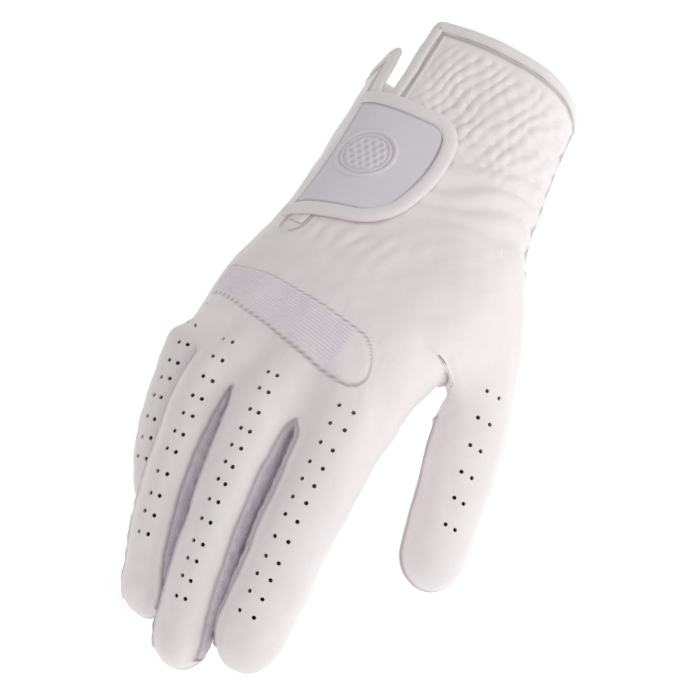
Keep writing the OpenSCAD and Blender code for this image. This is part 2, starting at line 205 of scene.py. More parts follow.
def side_share(d, s):
    """The knit sides are widest half way along a finger and close in towards its root and its tip."""
    length, r = DIGIT[d][4:6]
    if d == "thumb":
        return 0.8, 0.8
    closing = 0.16 * (1 - smooth((s - 3) / 24)) + 0.13 * smooth((s - (length - r - 14)) / 20)
    return 0.80 + closing, min(0.96, 0.90 + closing)


def digit_point(d, s, j, swell=0.0):
    across = axes(d)[0]
    f = unit(centre(d, s + 1) - centre(d, s - 1))
    g = girth(d, s)
    r, h = DIGIT[d][5:7]
    x, z = rounded(j % 16, (r + swell) * g, (h + swell) * g, 2.2, 4, 4, *side_share(d, s))
    return centre(d, s) + across * x + np.cross(f, across) * z


# ---------------------------------------------------------------- cage of the glove's skin
HAND_ROWS = [0, 4, 9, 13.5, 18, 23, 28, 33, 38, 43, 48, 55, 62, 68, 74, 80, 86, 91.5, 97, 102.5,
             108, 114.5, 121]
SLIT_ROWS = 16          # the slit is closed at this row
# how much lower the flap's hem is cut at each column, in mm, fading out by HEM_CUT_END
HEM_CUT = {2: 11.0, 1: 12.0, 0: 16.5, 39: 16.5, 38: 14.0, 37: 10.5, 36: 7.0, 35: 4.0, 34: 1.8}
HEM_CUT_END = 48
THUMB_ROWS = (12, 20)   # the thumb's root takes these rows and the four columns from 16
ROOT_S = 3.0            # the fingers part this far beyond their roots
EASE_ROWS = 3           # rows between the last hand row and the fingers


class Cage:
    """Points, faces, the piece that each face belongs to, and where each corner lies on the cloth."""

    def __init__(self):
        self.points, self.keys, self.faces, self.labels, self.cloth = [], {}, [], [], []

    def point(self, key, make):
        if key not in self.keys:
            self.keys[key] = len(self.points)
            self.points.append(np.asarray(make(), float))
        return self.keys[key]

    def face(self, corners, label, cloth):
        self.faces.append(corners)
        self.labels.append(label)
        self.cloth.append(cloth)


def finger_steps(d):
    """Stations of a finger's rings, from the fork to the start of its round tip, and then over the tip."""
    length, r = DIGIT[d][4:6]
    a, m = middle_hinge(d) - BEND_SPREAD, middle_hinge(d)
    first = 4 if d == "thumb" else ROOT_S + 3.5
    low = list(np.linspace(first, a, max(3, round((a - first) / 4.5) + 1)))
    high = list(np.linspace(m, length - r, max(3, round((length - r - m) / 4.5) + 1)))
    return low, high + [length - r * (1 - q) for q in (0.3, 0.55, 0.76, 0.9)]


def knit_side(d, j):
    i = FINGERS.index(d) if d in FINGERS else -1
    return (4 <= j < 8 and 0 <= i < 3) or (j >= 12 and 0 < i < 4)


def digit_label(d, s, j, half):
    length, r = DIGIT[d][4:6]
    if s < length - r * 0.5 and knit_side(d, j):
        return f"{d}_{half}_sides"
    return f"{d}_{half}_" + ("back" if j < 6 or j >= 14 else "palm")


def build_cage():
    cage = Cage()
    last = len(HAND_ROWS)

    def root_point(k):
        if k <= 16:
            i = min(3, k // 4)
            if k % 4 == 0 and 0 < k < 16:
                return (digit_point(FINGERS[i - 1], ROOT_S, 4) + digit_point(FINGERS[i], ROOT_S, 0)) / 2
            return digit_point(FINGERS[i], ROOT_S, k - 4 * i)
        if k < 20:
            return digit_point("index", ROOT_S, k - 12)
        if k <= 36:
            b = 36 - k
            i = min(3, b // 4)
            if b % 4 == 0 and 0 < b < 16:
                return (digit_point(FINGERS[i - 1], ROOT_S, 8) + digit_point(FINGERS[i], ROOT_S, 12)) / 2
            return digit_point(FINGERS[i], ROOT_S, 12 - (b - 4 * i))
        return digit_point("little", ROOT_S, k - 24)

    def hand(r, k, side):
        k %= 40
        if r < last:
            u = HAND_ROWS[r]
            if k > 33 or k < 2 or k == 2 and side < 0:
                u += HEM_CUT.get(k, 0.0) * max(0.0, 1 - u / HEM_CUT_END)
            near = (SLIT_COL <= k < SLIT_COL + 5 and side >= 0) or (k > 34 or k <= SLIT_COL) and side <= 0
            if r < SLIT_ROWS and k == SLIT_COL:
                return cage.point(("h", r, k, side), lambda: hand_point(u, beside_slit(u, k, side)))
            where = beside_slit(u, k, 1 if SLIT_COL < k < 34 else -1) if r < SLIT_ROWS and near else k
            return cage.point(("h", r, k), lambda: hand_point(u, where))
        if r < last + EASE_ROWS:
            t = (r - last + 1) / (EASE_ROWS + 1)
            return cage.point(("h", r, k), lambda: mix(hand_point(HAND_ROWS[-1], k), root_point(k), t))
        return cage.point(("root", k), lambda: root_point(k))

    def row_u(r):
        return HAND_ROWS[r] if r < last else 121 + (r - last + 1) * 5.0

    for r in range(last + EASE_ROWS):
        for k in range(40):
            if THUMB_ROWS[0] <= r < THUMB_ROWS[1] and 16 <= k < 20:
                continue
            open_row = r < SLIT_ROWS
            flap = k >= FOLD_COL or k < SLIT_COL
            side = (-1 if flap else 1) if open_row else 0
            below = side if r + 1 < SLIT_ROWS else 0
            corners = [hand(r, k, side), hand(r, k + 1, side), hand(r + 1, k + 1, below), hand(r + 1, k, below)]
            if SEAM_COL <= k < FOLD_COL:
                label = "palm_panel"
            elif open_row and flap:
                label = "side_flap"
            elif 1 <= r < 7 and 9 <= k < 16:
                label = "wrist_elastic"
            else:
                label = "back_panel"
            w = 4.6
            u0, u1 = row_u(r), row_u(r + 1)
            cloth = [(w * k, u0), (w * (k + 1), u0), (w * (k + 1), u1), (w * k, u1)]
            cage.face(corners, label, cloth)

    def root_corner(d, j):
        """The first ring of a finger shares its points with the hand and, at a fork, with its neighbour."""
        i, j = FINGERS.index(d), j % 16
        if j <= 4:
            return cage.keys[("root", 4 * i + j)]
        if 8 <= j <= 12:
            return cage.keys[("root", 36 - (4 * i + 12 - j))]
        if 4 < j < 8:
            if i == 3:
                return cage.keys[("root", j + 12)]
            return cage.point(("fork", i, j - 4), lambda: (
                digit_point(d, ROOT_S, j) + digit_point(FINGERS[i + 1], ROOT_S, 20 - j)) / 2)
        if i == 0:
            return cage.keys[("root", j + 24)]
        return cage.point(("fork", i - 1, 16 - j), lambda: (
            digit_point(d, ROOT_S, j) + digit_point(FINGERS[i - 1], ROOT_S, 20 - j)) / 2)

    def digit_rings(d, js, rings, places):
        low, high = finger_steps(d)
        for s in low + high:
            rings.append([cage.point((d, s, j), lambda: digit_point(d, s, j, 0.12)) for j in js])
            places.append(s)
        n = len(js)
        for i in range(len(rings) - 1):
            half = "lower" if places[i] < low[-1] - 0.1 else "upper"
            for m in range(n):
                j0, j1 = js[m], js[(m + 1) % n] or 16
                label = digit_label(d, places[i], j0, half)
                if d == "thumb" and places[i] < 1.5:
                    label = "thumb_base"
                w = 3.6
                after = (m + 1) % n
                s0, s1 = places[i], places[i + 1]
                cage.face([rings[i][m], rings[i][after], rings[i + 1][after], rings[i + 1][m]], label,
                          [(w * j0, s0), (w * j1, s0), (w * j1, s1), (w * j0, s1)])
        return rings[-1]

    def cap(d, ring, wide, tall):
        """Closes a tip with a grid of wide by tall faces, whose corners are columns 0, wide, ... of the ring."""
        length = DIGIT[d][4]
        pts = [cage.points[i] for i in ring]
        tip = np.mean(pts, axis=0) + unit(centre(d, length) - centre(d, length - 2)) * 0.35
        grid = [[None] * (wide + 1) for _ in range(tall + 1)]
        for a in range(wide + 1):
            grid[0][a] = ring[a]
            grid[tall][a] = ring[(2 * wide + tall - a) % len(ring)]
        for b in range(tall + 1):
            grid[b][wide] = ring[wide + b]
            grid[b][0] = ring[(2 * wide + 2 * tall - b) % len(ring)]
        for b in range(1, tall):
            for a in range(1, wide):
                x, y = a / wide, b / tall
                edge = (cage.points[grid[b][0]] * (1 - x) + cage.points[grid[b][wide]] * x
                        + cage.points[grid[0][a]] * (1 - y) + cage.points[grid[tall][a]] * y) / 2
                bulge = 16 * x * (1 - x) * y * (1 - y)
                grid[b][a] = cage.point((d, "cap", a, b), lambda: edge + (tip - np.mean(pts, axis=0)) * (1 + bulge * 2.2))
        for b in range(tall):
            for a in range(wide):
                label = f"{d}_upper_" + ("back" if b < tall / 2 else "palm")
                cage.face([grid[b][a], grid[b][a + 1], grid[b + 1][a + 1], grid[b + 1][a]], label,
                          [(3.6 * a, length + 3 * b), (3.6 * a + 3.6, length + 3 * b),
                           (3.6 * a + 3.6, length + 3 * b + 3), (3.6 * a, length + 3 * b + 3)])

    for d in FINGERS:
        ring = [root_corner(d, j) for j in range(16)]
        cap(d, digit_rings(d, list(range(16)), [ring], [ROOT_S]), 4, 4)

    # the thumb's root runs from its opening in the hand to the thumb's first ring
    r0, r1 = THUMB_ROWS
    opening = ([cage.keys[("h", r1 - i, 16)] for i in range(8)]
               + [cage.keys[("h", r0, 16 + i)] for i in range(4)]
               + [cage.keys[("h", r0 + i, 20)] for i in range(8)]
               + [cage.keys[("h", r1, 20 - i)] for i in range(4)])
    js = [i / 2 for i in range(8)] + [4, 5, 6, 7] + [8 + i / 2 for i in range(8)] + [12, 13, 14, 15]
    leave, arrive = np.array([22.0, -10, -3]), heading("thumb", DIGIT["thumb"][3][0]) * 30
    rings, places, rows = [opening], [-20.0], 5
    for i in range(1, rows):
        t = i / rows
        h00, h10 = 2 * t ** 3 - 3 * t ** 2 + 1, t ** 3 - 2 * t ** 2 + t
        h01, h11 = 3 * t ** 2 - 2 * t ** 3, t ** 3 - t ** 2
        rings.append([cage.point(("base", i, j), lambda: cage.points[opening[m]] * h00 + leave * h10
                                 + digit_point("thumb", 1.5, j) * h01 + arrive * h11) for m, j in enumerate(js)])
        places.append(mix(-20, 1.5, t))
    rings.append([cage.point(("base", rows, j), lambda: digit_point("thumb", 1.5, j)) for j in js])
    places.append(1.5)
    cap("thumb", digit_rings("thumb", js, rings, places), 8, 4)
    return cage


# ---------------------------------------------------------------- placing
def joint_place(name):
    return np.array([j for j in frame["joints"] if j["name"] == name][0]["pos_m"], float) / MM


SHIFT = joint_place("index_root") - sharp_centre("index", HINGE)


def place(p):
    """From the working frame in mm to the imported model's frame in metres."""
    return (np.asarray(p, float) + SHIFT) * MM


def mesh_object(name, points, faces, cloth=None, seam=None, smooth_faces=True):
    mesh = bpy.data.meshes.new(name)
    mesh.from_pydata(place(points).tolist(), [], [tuple(map(int, f)) for f in faces])
    if cloth is not None:
        uv = mesh.uv_layers.new(name="cloth")
        uv.data.foreach_set("uv", np.asarray(cloth, np.float32).ravel() / 100)
    # the seam attribute is a mask of painted shade, which the finishes darken their colour by
    if seam is not None:
        mesh.attributes.new("seam", "FLOAT", "POINT").data.foreach_set("value", np.asarray(seam, np.float32))
    mesh.polygons.foreach_set("use_smooth", [smooth_faces] * len(mesh.polygons))
    mesh.update()
    obj = bpy.data.objects.new(name, mesh)
    bpy.context.scene.collection.objects.link(obj)
    return obj


def applied(obj):
    """The object with its modifiers made into its mesh."""
    bpy.context.view_layer.update()
    evaluated = obj.evaluated_get(bpy.context.evaluated_depsgraph_get())
    mesh = bpy.data.meshes.new_from_object(evaluated)
    obj.modifiers.clear()
    old, obj.data = obj.data, mesh
    mesh.name = obj.name
    bpy.data.meshes.remove(old)
    return obj


def attach(obj, body, slot, *nodes, then=None, start=None, end=None):
    """The piece rides on body, or, when then is given, has its placing baked into its mesh and rides on no body; it
    stands for the nodes.
    """
    if then:
        tuple(place(start))
        tuple(place(end))
        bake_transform(obj)
    else:
        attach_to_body(obj, body)
    if nodes:
        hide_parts(*nodes)
    return obj


# ---------------------------------------------------------------- finishes
class Wire:
    """A shader value or colour that takes part in expressions."""

    def __init__(self, finish, socket):
        self.finish, self.socket = finish, socket

    def _maths(self, operation, other=None, swap=False):
        a, b = (other, self) if swap else (self, other)
        inputs = {0: a} if b is None else {0: a, 1: b}
        return self.finish.node("ShaderNodeMath", {"operation": operation}, inputs)

    def __add__(self, o): return self._maths("ADD", o)
    def __radd__(self, o): return self._maths("ADD", o, True)
    def __sub__(self, o): return self._maths("SUBTRACT", o)
    def __rsub__(self, o): return self._maths("SUBTRACT", o, True)
    def __mul__(self, o): return self._maths("MULTIPLY", o)
    def __rmul__(self, o): return self._maths("MULTIPLY", o, True)
    def __truediv__(self, o): return self._maths("DIVIDE", o)
    def __pow__(self, o): return self._maths("POWER", o)
    def sin(self): return self._maths("SINE")
    def size(self): return self._maths("ABSOLUTE")
    def most(self, o): return self._maths("MAXIMUM", o)
    def least(self, o): return self._maths("MINIMUM", o)


class Finish:
    def __init__(self, name, rough, sheen=0.0, coat=0.0):
        self.material = bpy.data.materials.new(name)
        self.material.use_nodes = True
        self.tree = self.material.node_tree
        self.shader = self.tree.nodes["Principled BSDF"]
        self.shader.inputs["Roughness"].default_value = rough
        self.shader.inputs["Sheen Weight"].default_value = sheen
        self.shader.inputs["Sheen Roughness"].default_value = 0.45
        self.shader.inputs["Coat Weight"].default_value = coat
        self.place = self.node("ShaderNodeTexCoord", output="Object")
        self.cloth = self.node("ShaderNodeUVMap", {"uv_map": "cloth"}, output="UV")

    def node(self, kind, settings=None, inputs=None, output=0):
        made = self.tree.nodes.new(kind)
        for key, value in (settings or {}).items():
            if key == "stops":
                for i, (at, colour) in enumerate(value):
                    stop = made.color_ramp.elements[i] if i < 2 else made.color_ramp.elements.new(at)
                    stop.position, stop.color = at, (*colour, 1)
            else:
                setattr(made, key, value)
        for key, value in (inputs or {}).items():
            if isinstance(value, Wire):
                self.tree.links.new(value.socket, made.inputs[key])
            else:
                made.inputs[key].default_value = value
        return Wire(self, made.outputs[output])

    def noise(self, size, detail=3, rough=0.55, where=None, output="Fac"):
        """Noise whose grain is about size mm."""
        return self.node("ShaderNodeTexNoise", None, {"Vector": where or self.place, "Scale": 1000 / size,
                                                      "Detail": detail, "Roughness": rough}, output)

    def cells(self, size, where=None, feature="F1"):
        return self.node("ShaderNodeTexVoronoi", {"feature": feature},
                         {"Vector": where or self.place, "Scale": 1000 / size}, "Distance")

    def blend(self, a, b, amount):
        """Colour a turning to colour b."""
        a, b = (c if isinstance(c, Wire) else (*c, 1) for c in (a, b))
        return self.node("ShaderNodeMix", {"data_type": "RGBA"}, {0: amount, 6: a, 7: b}, 2)

    def stretch(self, amounts, where=None):
        return self.node("ShaderNodeVectorMath", {"operation": "MULTIPLY"}, {0: where or self.place, 1: amounts})

    # reads the mask of painted shade that the pieces carry in their seam attribute
    def seam(self):
        return self.node("ShaderNodeAttribute", {"attribute_name": "seam"}, output="Fac")

    def along(self, axis):
        """Distance on the cloth in mm: 0 is across and 1 along the piece."""
        return self.node("ShaderNodeSeparateXYZ", None, {0: self.cloth}, axis) * 100.0

    def done(self, colour, height=None, depth=0.1, roughness=None):
        for name, value in (("Base Color", colour), ("Roughness", roughness)):
            if isinstance(value, Wire):
                self.tree.links.new(value.socket, self.shader.inputs[name])
        if height is not None:
            bump = self.node("ShaderNodeBump", None, {"Height": height, "Distance": depth * MM, "Strength": 1.0})
            self.tree.links.new(bump.socket, self.shader.inputs["Normal"])
        return self.material


def leather_finish(name, light, shade, seam_shade_colour):
    f = Finish(name, 0.52, sheen=0.12)
    grain = f.cells(0.75) * 0.6 + f.noise(0.45, 4) * 0.5
    pores = f.noise(2.2, 4, 0.6)
    cloud = f.noise(16, 3)
    colour = f.blend(shade, light, (cloud * 1.6 - 0.35).least(1.0).most(0.0))
    colour = f.blend(colour, tuple(c * 0.93 for c in light), (pores * 1.5 - 0.75).most(0.0))
    # painted shade: the colour darkens towards the third colour given wherever the seam attribute marks shade in
    # grooves, gaps and recesses
    colour = f.blend(colour, seam_shade_colour, f.seam() * 0.75)
    return f.done(colour, grain + pores * 1.6, 0.05, 0.44 + cloud * 0.12 + grain * 0.06)


def knit_finish():
    f = Finish("grey_knit", 0.85, sheen=0.35)
    across, along = f.along(0), f.along(1)
    rib = (across * (math.pi / 0.55)).sin().size()
    row = (along * (math.pi / 0.5) + rib * 1.4).sin().size()
    fuzz = f.noise(0.5, 5, 0.7)
    colour = f.blend((0.72, 0.65, 0.72), (0.92, 0.86, 0.92), rib * 0.45 + row * 0.25 + fuzz * 0.3)
    # painted shade along the seams, where the knit sits below the leather
    colour = f.blend(colour, (0.36, 0.32, 0.37), f.seam() * 0.6)
    return f.done(colour, rib + row * 0.6 + fuzz * 1.3, 0.16)


def band_finish():
    f = Finish("lilac_elastic", 0.7, sheen=0.25)
    along = f.along(0)
    thread = (along * (math.pi / 0.34)).sin().size()
    fuzz = f.noise(0.35, 4, 0.6)
    colour = f.blend((0.78, 0.70, 0.80), (0.92, 0.85, 0.94), thread * 0.4 + fuzz * 0.6)
    # painted shade at the band's rim and between its ribs; at the rim it also stands for a darker line of stitching
    colour = f.blend(colour, (0.42, 0.36, 0.44), f.seam() * 0.8)
    return f.done(colour, thread + fuzz, 0.07)


def tab_finish():
    f = Finish("tab_cloth", 0.78, sheen=0.2)
    nap = f.noise(0.6, 5, 0.65, f.stretch((1.0, 0.45, 1.0)))
    weave = (f.along(0) * (math.pi / 0.42)).sin().size() * (f.along(1) * (math.pi / 0.42)).sin().size()
    cloud = f.noise(12, 2)
    colour = f.blend((0.72, 0.69, 0.73), (0.82, 0.79, 0.83), nap * 0.5 + cloud * 0.5)
    # painted shade round the rim of the tab's cloth and in the hollows of its emblem
    colour = f.blend(colour, (0.30, 0.27, 0.33), f.seam() * 0.8)
    return f.done(colour, nap + weave * 0.6, 0.07)


def plain_thread(name, colour, dark):
    f = Finish(name, 0.6, sheen=0.2)
    twist = f.noise(0.25, 3, 0.6)
    return f.done(f.blend(dark, colour, twist * 1.4 - 0.2), twist, 0.05)


def pile_finish(name, colour, dark, size):
    f = Finish(name, 0.7, sheen=0.3)
    pile = f.cells(size)
    fuzz = f.noise(0.3, 5, 0.7)
    return f.done(f.blend(dark, colour, pile * 1.5 + fuzz * 0.4), pile + fuzz, 0.35)


FINISH = {
    # the third colour of each leather is the painted shade of its seams, gaps and recesses
    "white_leather": leather_finish(
        "white_leather", (0.89, 0.85, 0.85), (0.85, 0.795, 0.805), (0.30, 0.26, 0.265)),
    "binding_leather": leather_finish(
        "binding_leather", (0.87, 0.84, 0.835), (0.82, 0.785, 0.785), (0.34, 0.30, 0.30)),
    "grey_knit": knit_finish(),
    "lilac_elastic": band_finish(),
    "tab_cloth": tab_finish(),
    "thread": plain_thread("thread", (0.80, 0.765, 0.775), (0.58, 0.54, 0.56)),
    "hooks": pile_finish("hooks", (0.82, 0.81, 0.82), (0.5, 0.48, 0.5), 0.9),
    "loops": pile_finish("loops", (0.80, 0.78, 0.80), (0.55, 0.52, 0.55), 0.6),
    # painted shade: a near-black finish for the walls of the perforations, standing for the shade inside the holes
    "hole_shade": plain_thread("hole_shade", (0.05, 0.035, 0.03), (0.03, 0.02, 0.018))}


# ---------------------------------------------------------------- skin
def ripples(points, size, seed, waves=16):
    """Gentle unevenness with bumps about size mm apart, between about -1 and 1."""
    draw = np.random.default_rng(seed)
    way = draw.normal(size=(waves, 3))
    way /= np.linalg.norm(way, axis=1)[:, None]
    way *= (2 * math.pi / size) * draw.uniform(0.7, 1.4, (waves, 1))
    return np.sin(points @ way.T + draw.uniform(0, 2 * math.pi, waves)).sum(1) / math.sqrt(waves)


def seam_group(label):
    if label.endswith("sides"):
        return "knit"
    if label.startswith("thumb"):
        return "thumb_palm" if label.endswith("palm") else "back"
    return "palm" if label.startswith(("little", "ring", "middle", "palm")) and "palm" in label else "back"


class Skin:
    """The glove's outer surface: points, normals, quads, and each quad's piece and place on the cloth."""

    def __init__(self):
        cage = build_cage()
        self.names = sorted(set(cage.labels))
        mesh = bpy.data.meshes.new("skin")
        mesh.from_pydata([tuple(p) for p in cage.points], [], cage.faces)
        pieces = [self.names.index(n) for n in cage.labels]
        mesh.attributes.new("piece", "INT", "FACE").data.foreach_set("value", pieces)
        uv = mesh.uv_layers.new(name="cloth")
        uv.data.foreach_set("uv", np.array(cage.cloth, np.float32).ravel())
        obj = bpy.data.objects.new("skin", mesh)
        bpy.context.scene.collection.objects.link(obj)
        levels = obj.modifiers.new("levels", "SUBSURF")
        levels.levels = levels.render_levels = 3
        levels.boundary_smooth = "ALL"
        mesh = applied(obj).data
        n, m = len(mesh.vertices), len(mesh.polygons)
        self.points = np.zeros((n, 3), np.float32)
        mesh.vertices.foreach_get("co", self.points.ravel())
        self.points = self.points.astype(float)
        self.quads = np.zeros(m * 4, np.int32)
        mesh.loops.foreach_get("vertex_index", self.quads)
        self.quads = self.quads.reshape(m, 4)
        self.piece = np.zeros(m, np.int32)
        mesh.attributes["piece"].data.foreach_get("value", self.piece)
        cloth = np.zeros(m * 8, np.float32)
        mesh.uv_layers["cloth"].data.foreach_get("uv", cloth)
        self.cloth = cloth.reshape(m, 4, 2).astype(float)
        bpy.data.objects.remove(obj)
        self.spot = np.zeros((n, 2))
        self.spot[self.quads.ravel()] = self.cloth.reshape(-1, 2)
        self.owner = np.zeros(n, int)
        self.owner[self.quads.ravel()] = np.repeat(self.piece, 4)
        self.measure()
        self.find_seams()

    def measure(self):
        a, b, c, d = (self.points[self.quads[:, i]] for i in range(4))
        normal = np.cross(c - a, d - b)
        total = np.zeros_like(self.points)
        for i in range(4):
            np.add.at(total, self.quads[:, i], normal)
        self.normals = total / np.maximum(np.linalg.norm(total, axis=1), 1e-12)[:, None]
        self.tree = BVHTree.FromPolygons(self.points.tolist(), self.quads.tolist())

    def find_seams(self):
        q = self.quads
        pairs = np.concatenate([np.sort(q[:, [i, (i + 1) % 4]], axis=1) for i in range(4)])
        owner = np.tile(np.arange(len(q)), 4)
        order = np.lexsort((pairs[:, 1], pairs[:, 0]))
        pairs, owner = pairs[order], owner[order]
        same = np.all(pairs[1:] == pairs[:-1], axis=1)
        groups = [seam_group(n) for n in self.names]
        kinds = np.array([sorted(set(groups)).index(g) for g in groups])[self.piece]
        meets = np.nonzero(same)[0]
        differ = kinds[owner[meets]] != kinds[owner[meets + 1]]
        found = np.unique(pairs[meets[differ]])
        u, k = self.spot[found, 1], self.spot[found, 0] / 4.6
        on_hand = np.array([n in ("palm_panel", "back_panel", "side_flap", "thumb_base") for n in self.names])
        blank = on_hand[self.owner[found]] & (np.abs(k - SEAM_COL) < 3) & (u > 58)
        # leather runs on unbroken from the palm to the underside of the index finger
        index_palm = [i for i, n in enumerate(self.names) if n.startswith("index") and n.endswith("palm")]
        blank |= np.isin(self.owner[found], index_palm) & (self.spot[found, 0] / 3.6 < 11.5)
        self.seam_points = found[~blank]
        single = np.ones(len(pairs), bool)
        single[meets] = False
        single[meets + 1] = False
        self.rim_edges = pairs[single]
        rim = {}
        for a, b in self.rim_edges:
            rim.setdefault(int(a), []).append(int(b))
            rim.setdefault(int(b), []).append(int(a))
        start = min(rim)
        loop, before = [start], None
        while True:
            ahead = [x for x in rim[loop[-1]] if x != before]
            before = loop[-1]
            if ahead[0] == start or len(loop) > len(rim):
                break
            loop.append(ahead[0])
        self.loop = loop

    def distance_to(self, points):
        tree = KDTree(len(points))
        for i, p in enumerate(points):
            tree.insert(p, i)
        tree.balance()
        return np.array([tree.find(p)[2] for p in self.points])

    def on(self, *words):
        """Share of each point that lies on pieces whose names hold one of the words."""
        hit = np.array([any(w in n for w in words) for n in self.names])
        return hit[self.owner]

    def drop(self, p, n, reach=14.0):
        """The skin's point under p, seen along the direction n, with the skin's normal and the quad there."""
        n = unit(n)
        hit, normal, face, _ = self.tree.ray_cast(Vector(p + n * reach), Vector(-n), reach * 2)
        if hit is None:
            hit, normal, face, _ = self.tree.find_nearest(Vector(p))
        return np.array(hit), np.array(normal), face


BAND_U, BAND_SLOPE, BAND_WIDTH = 117.3, 0.27, 13.0
BAND_X0, BAND_X1 = -30.2, 26.8


def band_half(x):
    """Half the width of the band, which narrows towards the little finger."""
    over = np.maximum(x - (BAND_X1 - BAND_WIDTH / 2), 0) / (BAND_WIDTH / 2)
    return (5.0 + 1.5 * smooth((x + 30) / 20)) * np.sqrt(np.maximum(0.0004, 1 - over * over))


def band_measure(u, k):
    """How far inside the band's outline a place on the back lies, in mm, less than 0 outside."""
    x = (k - 8) * 4.05
    v = u - BAND_U - BAND_SLOPE * x
    over = np.maximum(x - (BAND_X1 - BAND_WIDTH / 2), 0)
    return np.minimum(band_half(np.minimum(x, 0)) - np.hypot(over, v), x - BAND_X0 + 1)


def shape_skin(skin):
    """Seam grooves, gathers at the wrist, folds, and the unevenness of soft leather."""
    p = skin.points.copy()
    seam = skin.distance_to(p[skin.seam_points])
    rim = skin.distance_to(p[skin.loop])
    u, k = skin.spot[:, 1], skin.spot[:, 0] / 4.6
    hand = skin.on("panel", "flap", "wrist").astype(float)
    back = skin.on("back_panel", "flap", "wrist").astype(float)
    knit = skin.on("sides").astype(float)
    rise = -0.5 * np.exp(-(seam / 0.75) ** 2) + 0.16 * np.exp(-((seam - 2.3) / 1.3) ** 2)
    rise -= knit * 0.45 * smooth(seam / 1.2)
    rise += 0.30 * ripples(p, 22, 3) + 0.10 * ripples(p, 7.5, 4)
    rise += knit * 0.12 * ripples(p, 3.5, 8)
    # gathers: rows of short lumps below the hem, each row shifted by half a lump
    x = k * 3.7
    lane = (u - 7 + 0.18 * x) / 4.4 + 0.12 * ripples(p, 16, 9)
    inside_lane = lane - np.floor(lane)
    turn = x / 4.3 + 0.5 * np.floor(lane) + 0.3 * inside_lane + 0.16 * ripples(p, 15, 5)
    pleat = (0.5 - 0.5 * np.cos(2 * math.pi * turn)) * np.sin(math.pi * inside_lane) ** 0.7
    strength = np.clip(0.8 + 0.4 * ripples(p, 12, 11), 0.3, 1.2)
    reach = smooth((u - 5.0) / 5) * (1 - smooth((u - 33) / 16))
    reach = reach * smooth((k - 3.6) / 2.5) * (1 - smooth((k - 17) / 2.5))
    rise += back * reach * strength * (1.25 * pleat - 0.45)
    # soft folds that run on from the gathers towards the slit
    slant = (x * 0.55 + (u - 30)) / 8.5
    reach = smooth((u - 22) / 12) * (1 - smooth((u - 52) / 26))
    reach = reach * smooth((k - 6) / 4) * (1 - smooth((k - 17) / 3))
    rise += back * reach * 0.6 * np.sin(2 * math.pi * slant + 1.3 * ripples(p, 26, 6))
    # the elastic band lies in a shallow recess
    inside = band_measure(u, k)
    rise -= back * 0.85 * smooth((inside + 0.5) / 1.0)
    # little gathers beside the band and below the tab
    near = np.exp(-((inside + 2.2) / 1.8) ** 2)
    rise += back * near * 0.05 * np.sin(2 * math.pi * x / 2.6 + ripples(p, 9, 7))
    under = np.exp(-((u - 86) / 5.0) ** 2) * smooth((k - 2.5) / 2) * (1 - smooth((k - 9) / 3))
    rise += back * under * 0.22 * np.sin(2 * math.pi * x / 4.9 + 0.8 * ripples(p, 14, 12))
    # the binding's stitching pulls the leather in
    rise -= hand * 0.5 * np.exp(-((rim - 4.3) / 0.55) ** 2)
    # the leather puckers where it is sewn round the thumb
    root = skin.on("thumb_base").astype(float)
    pucker = np.sin(2 * math.pi * (p[:, 1] * 0.9 + p[:, 0] * 0.5) / 3.4)
    rise += root * 0.2 * np.exp(-(seam / 4.5) ** 2) * pucker
    skin.points = p + skin.normals * rise[:, None]
    skin.measure()
    # painted shade: this mask darkens the colour in the seams' grooves, in the gap beside the binding's stitching and
    # at the edge of the band's recess, where it also stands for a darker line of stitching
    line = np.exp(-(seam / 0.42) ** 2)
    line = np.maximum(line, hand * np.exp(-((rim - 4.25) / 0.30) ** 2))
    line = np.maximum(line, back * np.exp(-((inside + 0.15) / 0.35) ** 2))
    skin.seam = line


def wall_piece(skin, name, wall):
    """One panel of the skin as a closed sheet of the wall's thickness."""
    faces = skin.quads[skin.piece == skin.names.index(name)]
    cloth = skin.cloth[skin.piece == skin.names.index(name)]
    used, index = np.unique(faces, return_inverse=True)
    index = index.reshape(faces.shape)
    n = len(used)
    outer = skin.points[used]
    inner = outer - skin.normals[used] * wall
    edges = np.concatenate([index[:, [i, (i + 1) % 4]] for i in range(4)])
    where = np.concatenate([cloth[:, [i, (i + 1) % 4]] for i in range(4)])
    code, back_code = edges[:, 0] * n + edges[:, 1], edges[:, 1] * n + edges[:, 0]
    open_edge = ~np.isin(code, back_code)
    e, w = edges[open_edge], where[open_edge]
    rim = np.stack([e[:, 1], e[:, 0], e[:, 0] + n, e[:, 1] + n], axis=1)
    rim_cloth = np.stack([w[:, 1], w[:, 0], w[:, 0], w[:, 1]], axis=1)
    quads = np.concatenate([index, index[:, ::-1] + n, rim])
    uv = np.concatenate([cloth, cloth[:, ::-1], rim_cloth])
    # painted shade from the skin's seam mask, for both faces of the sheet
    seam = np.concatenate([skin.seam[used]] * 2)
    return mesh_object(name, np.concatenate([outer, inner]), quads, uv.reshape(-1, 2), seam)


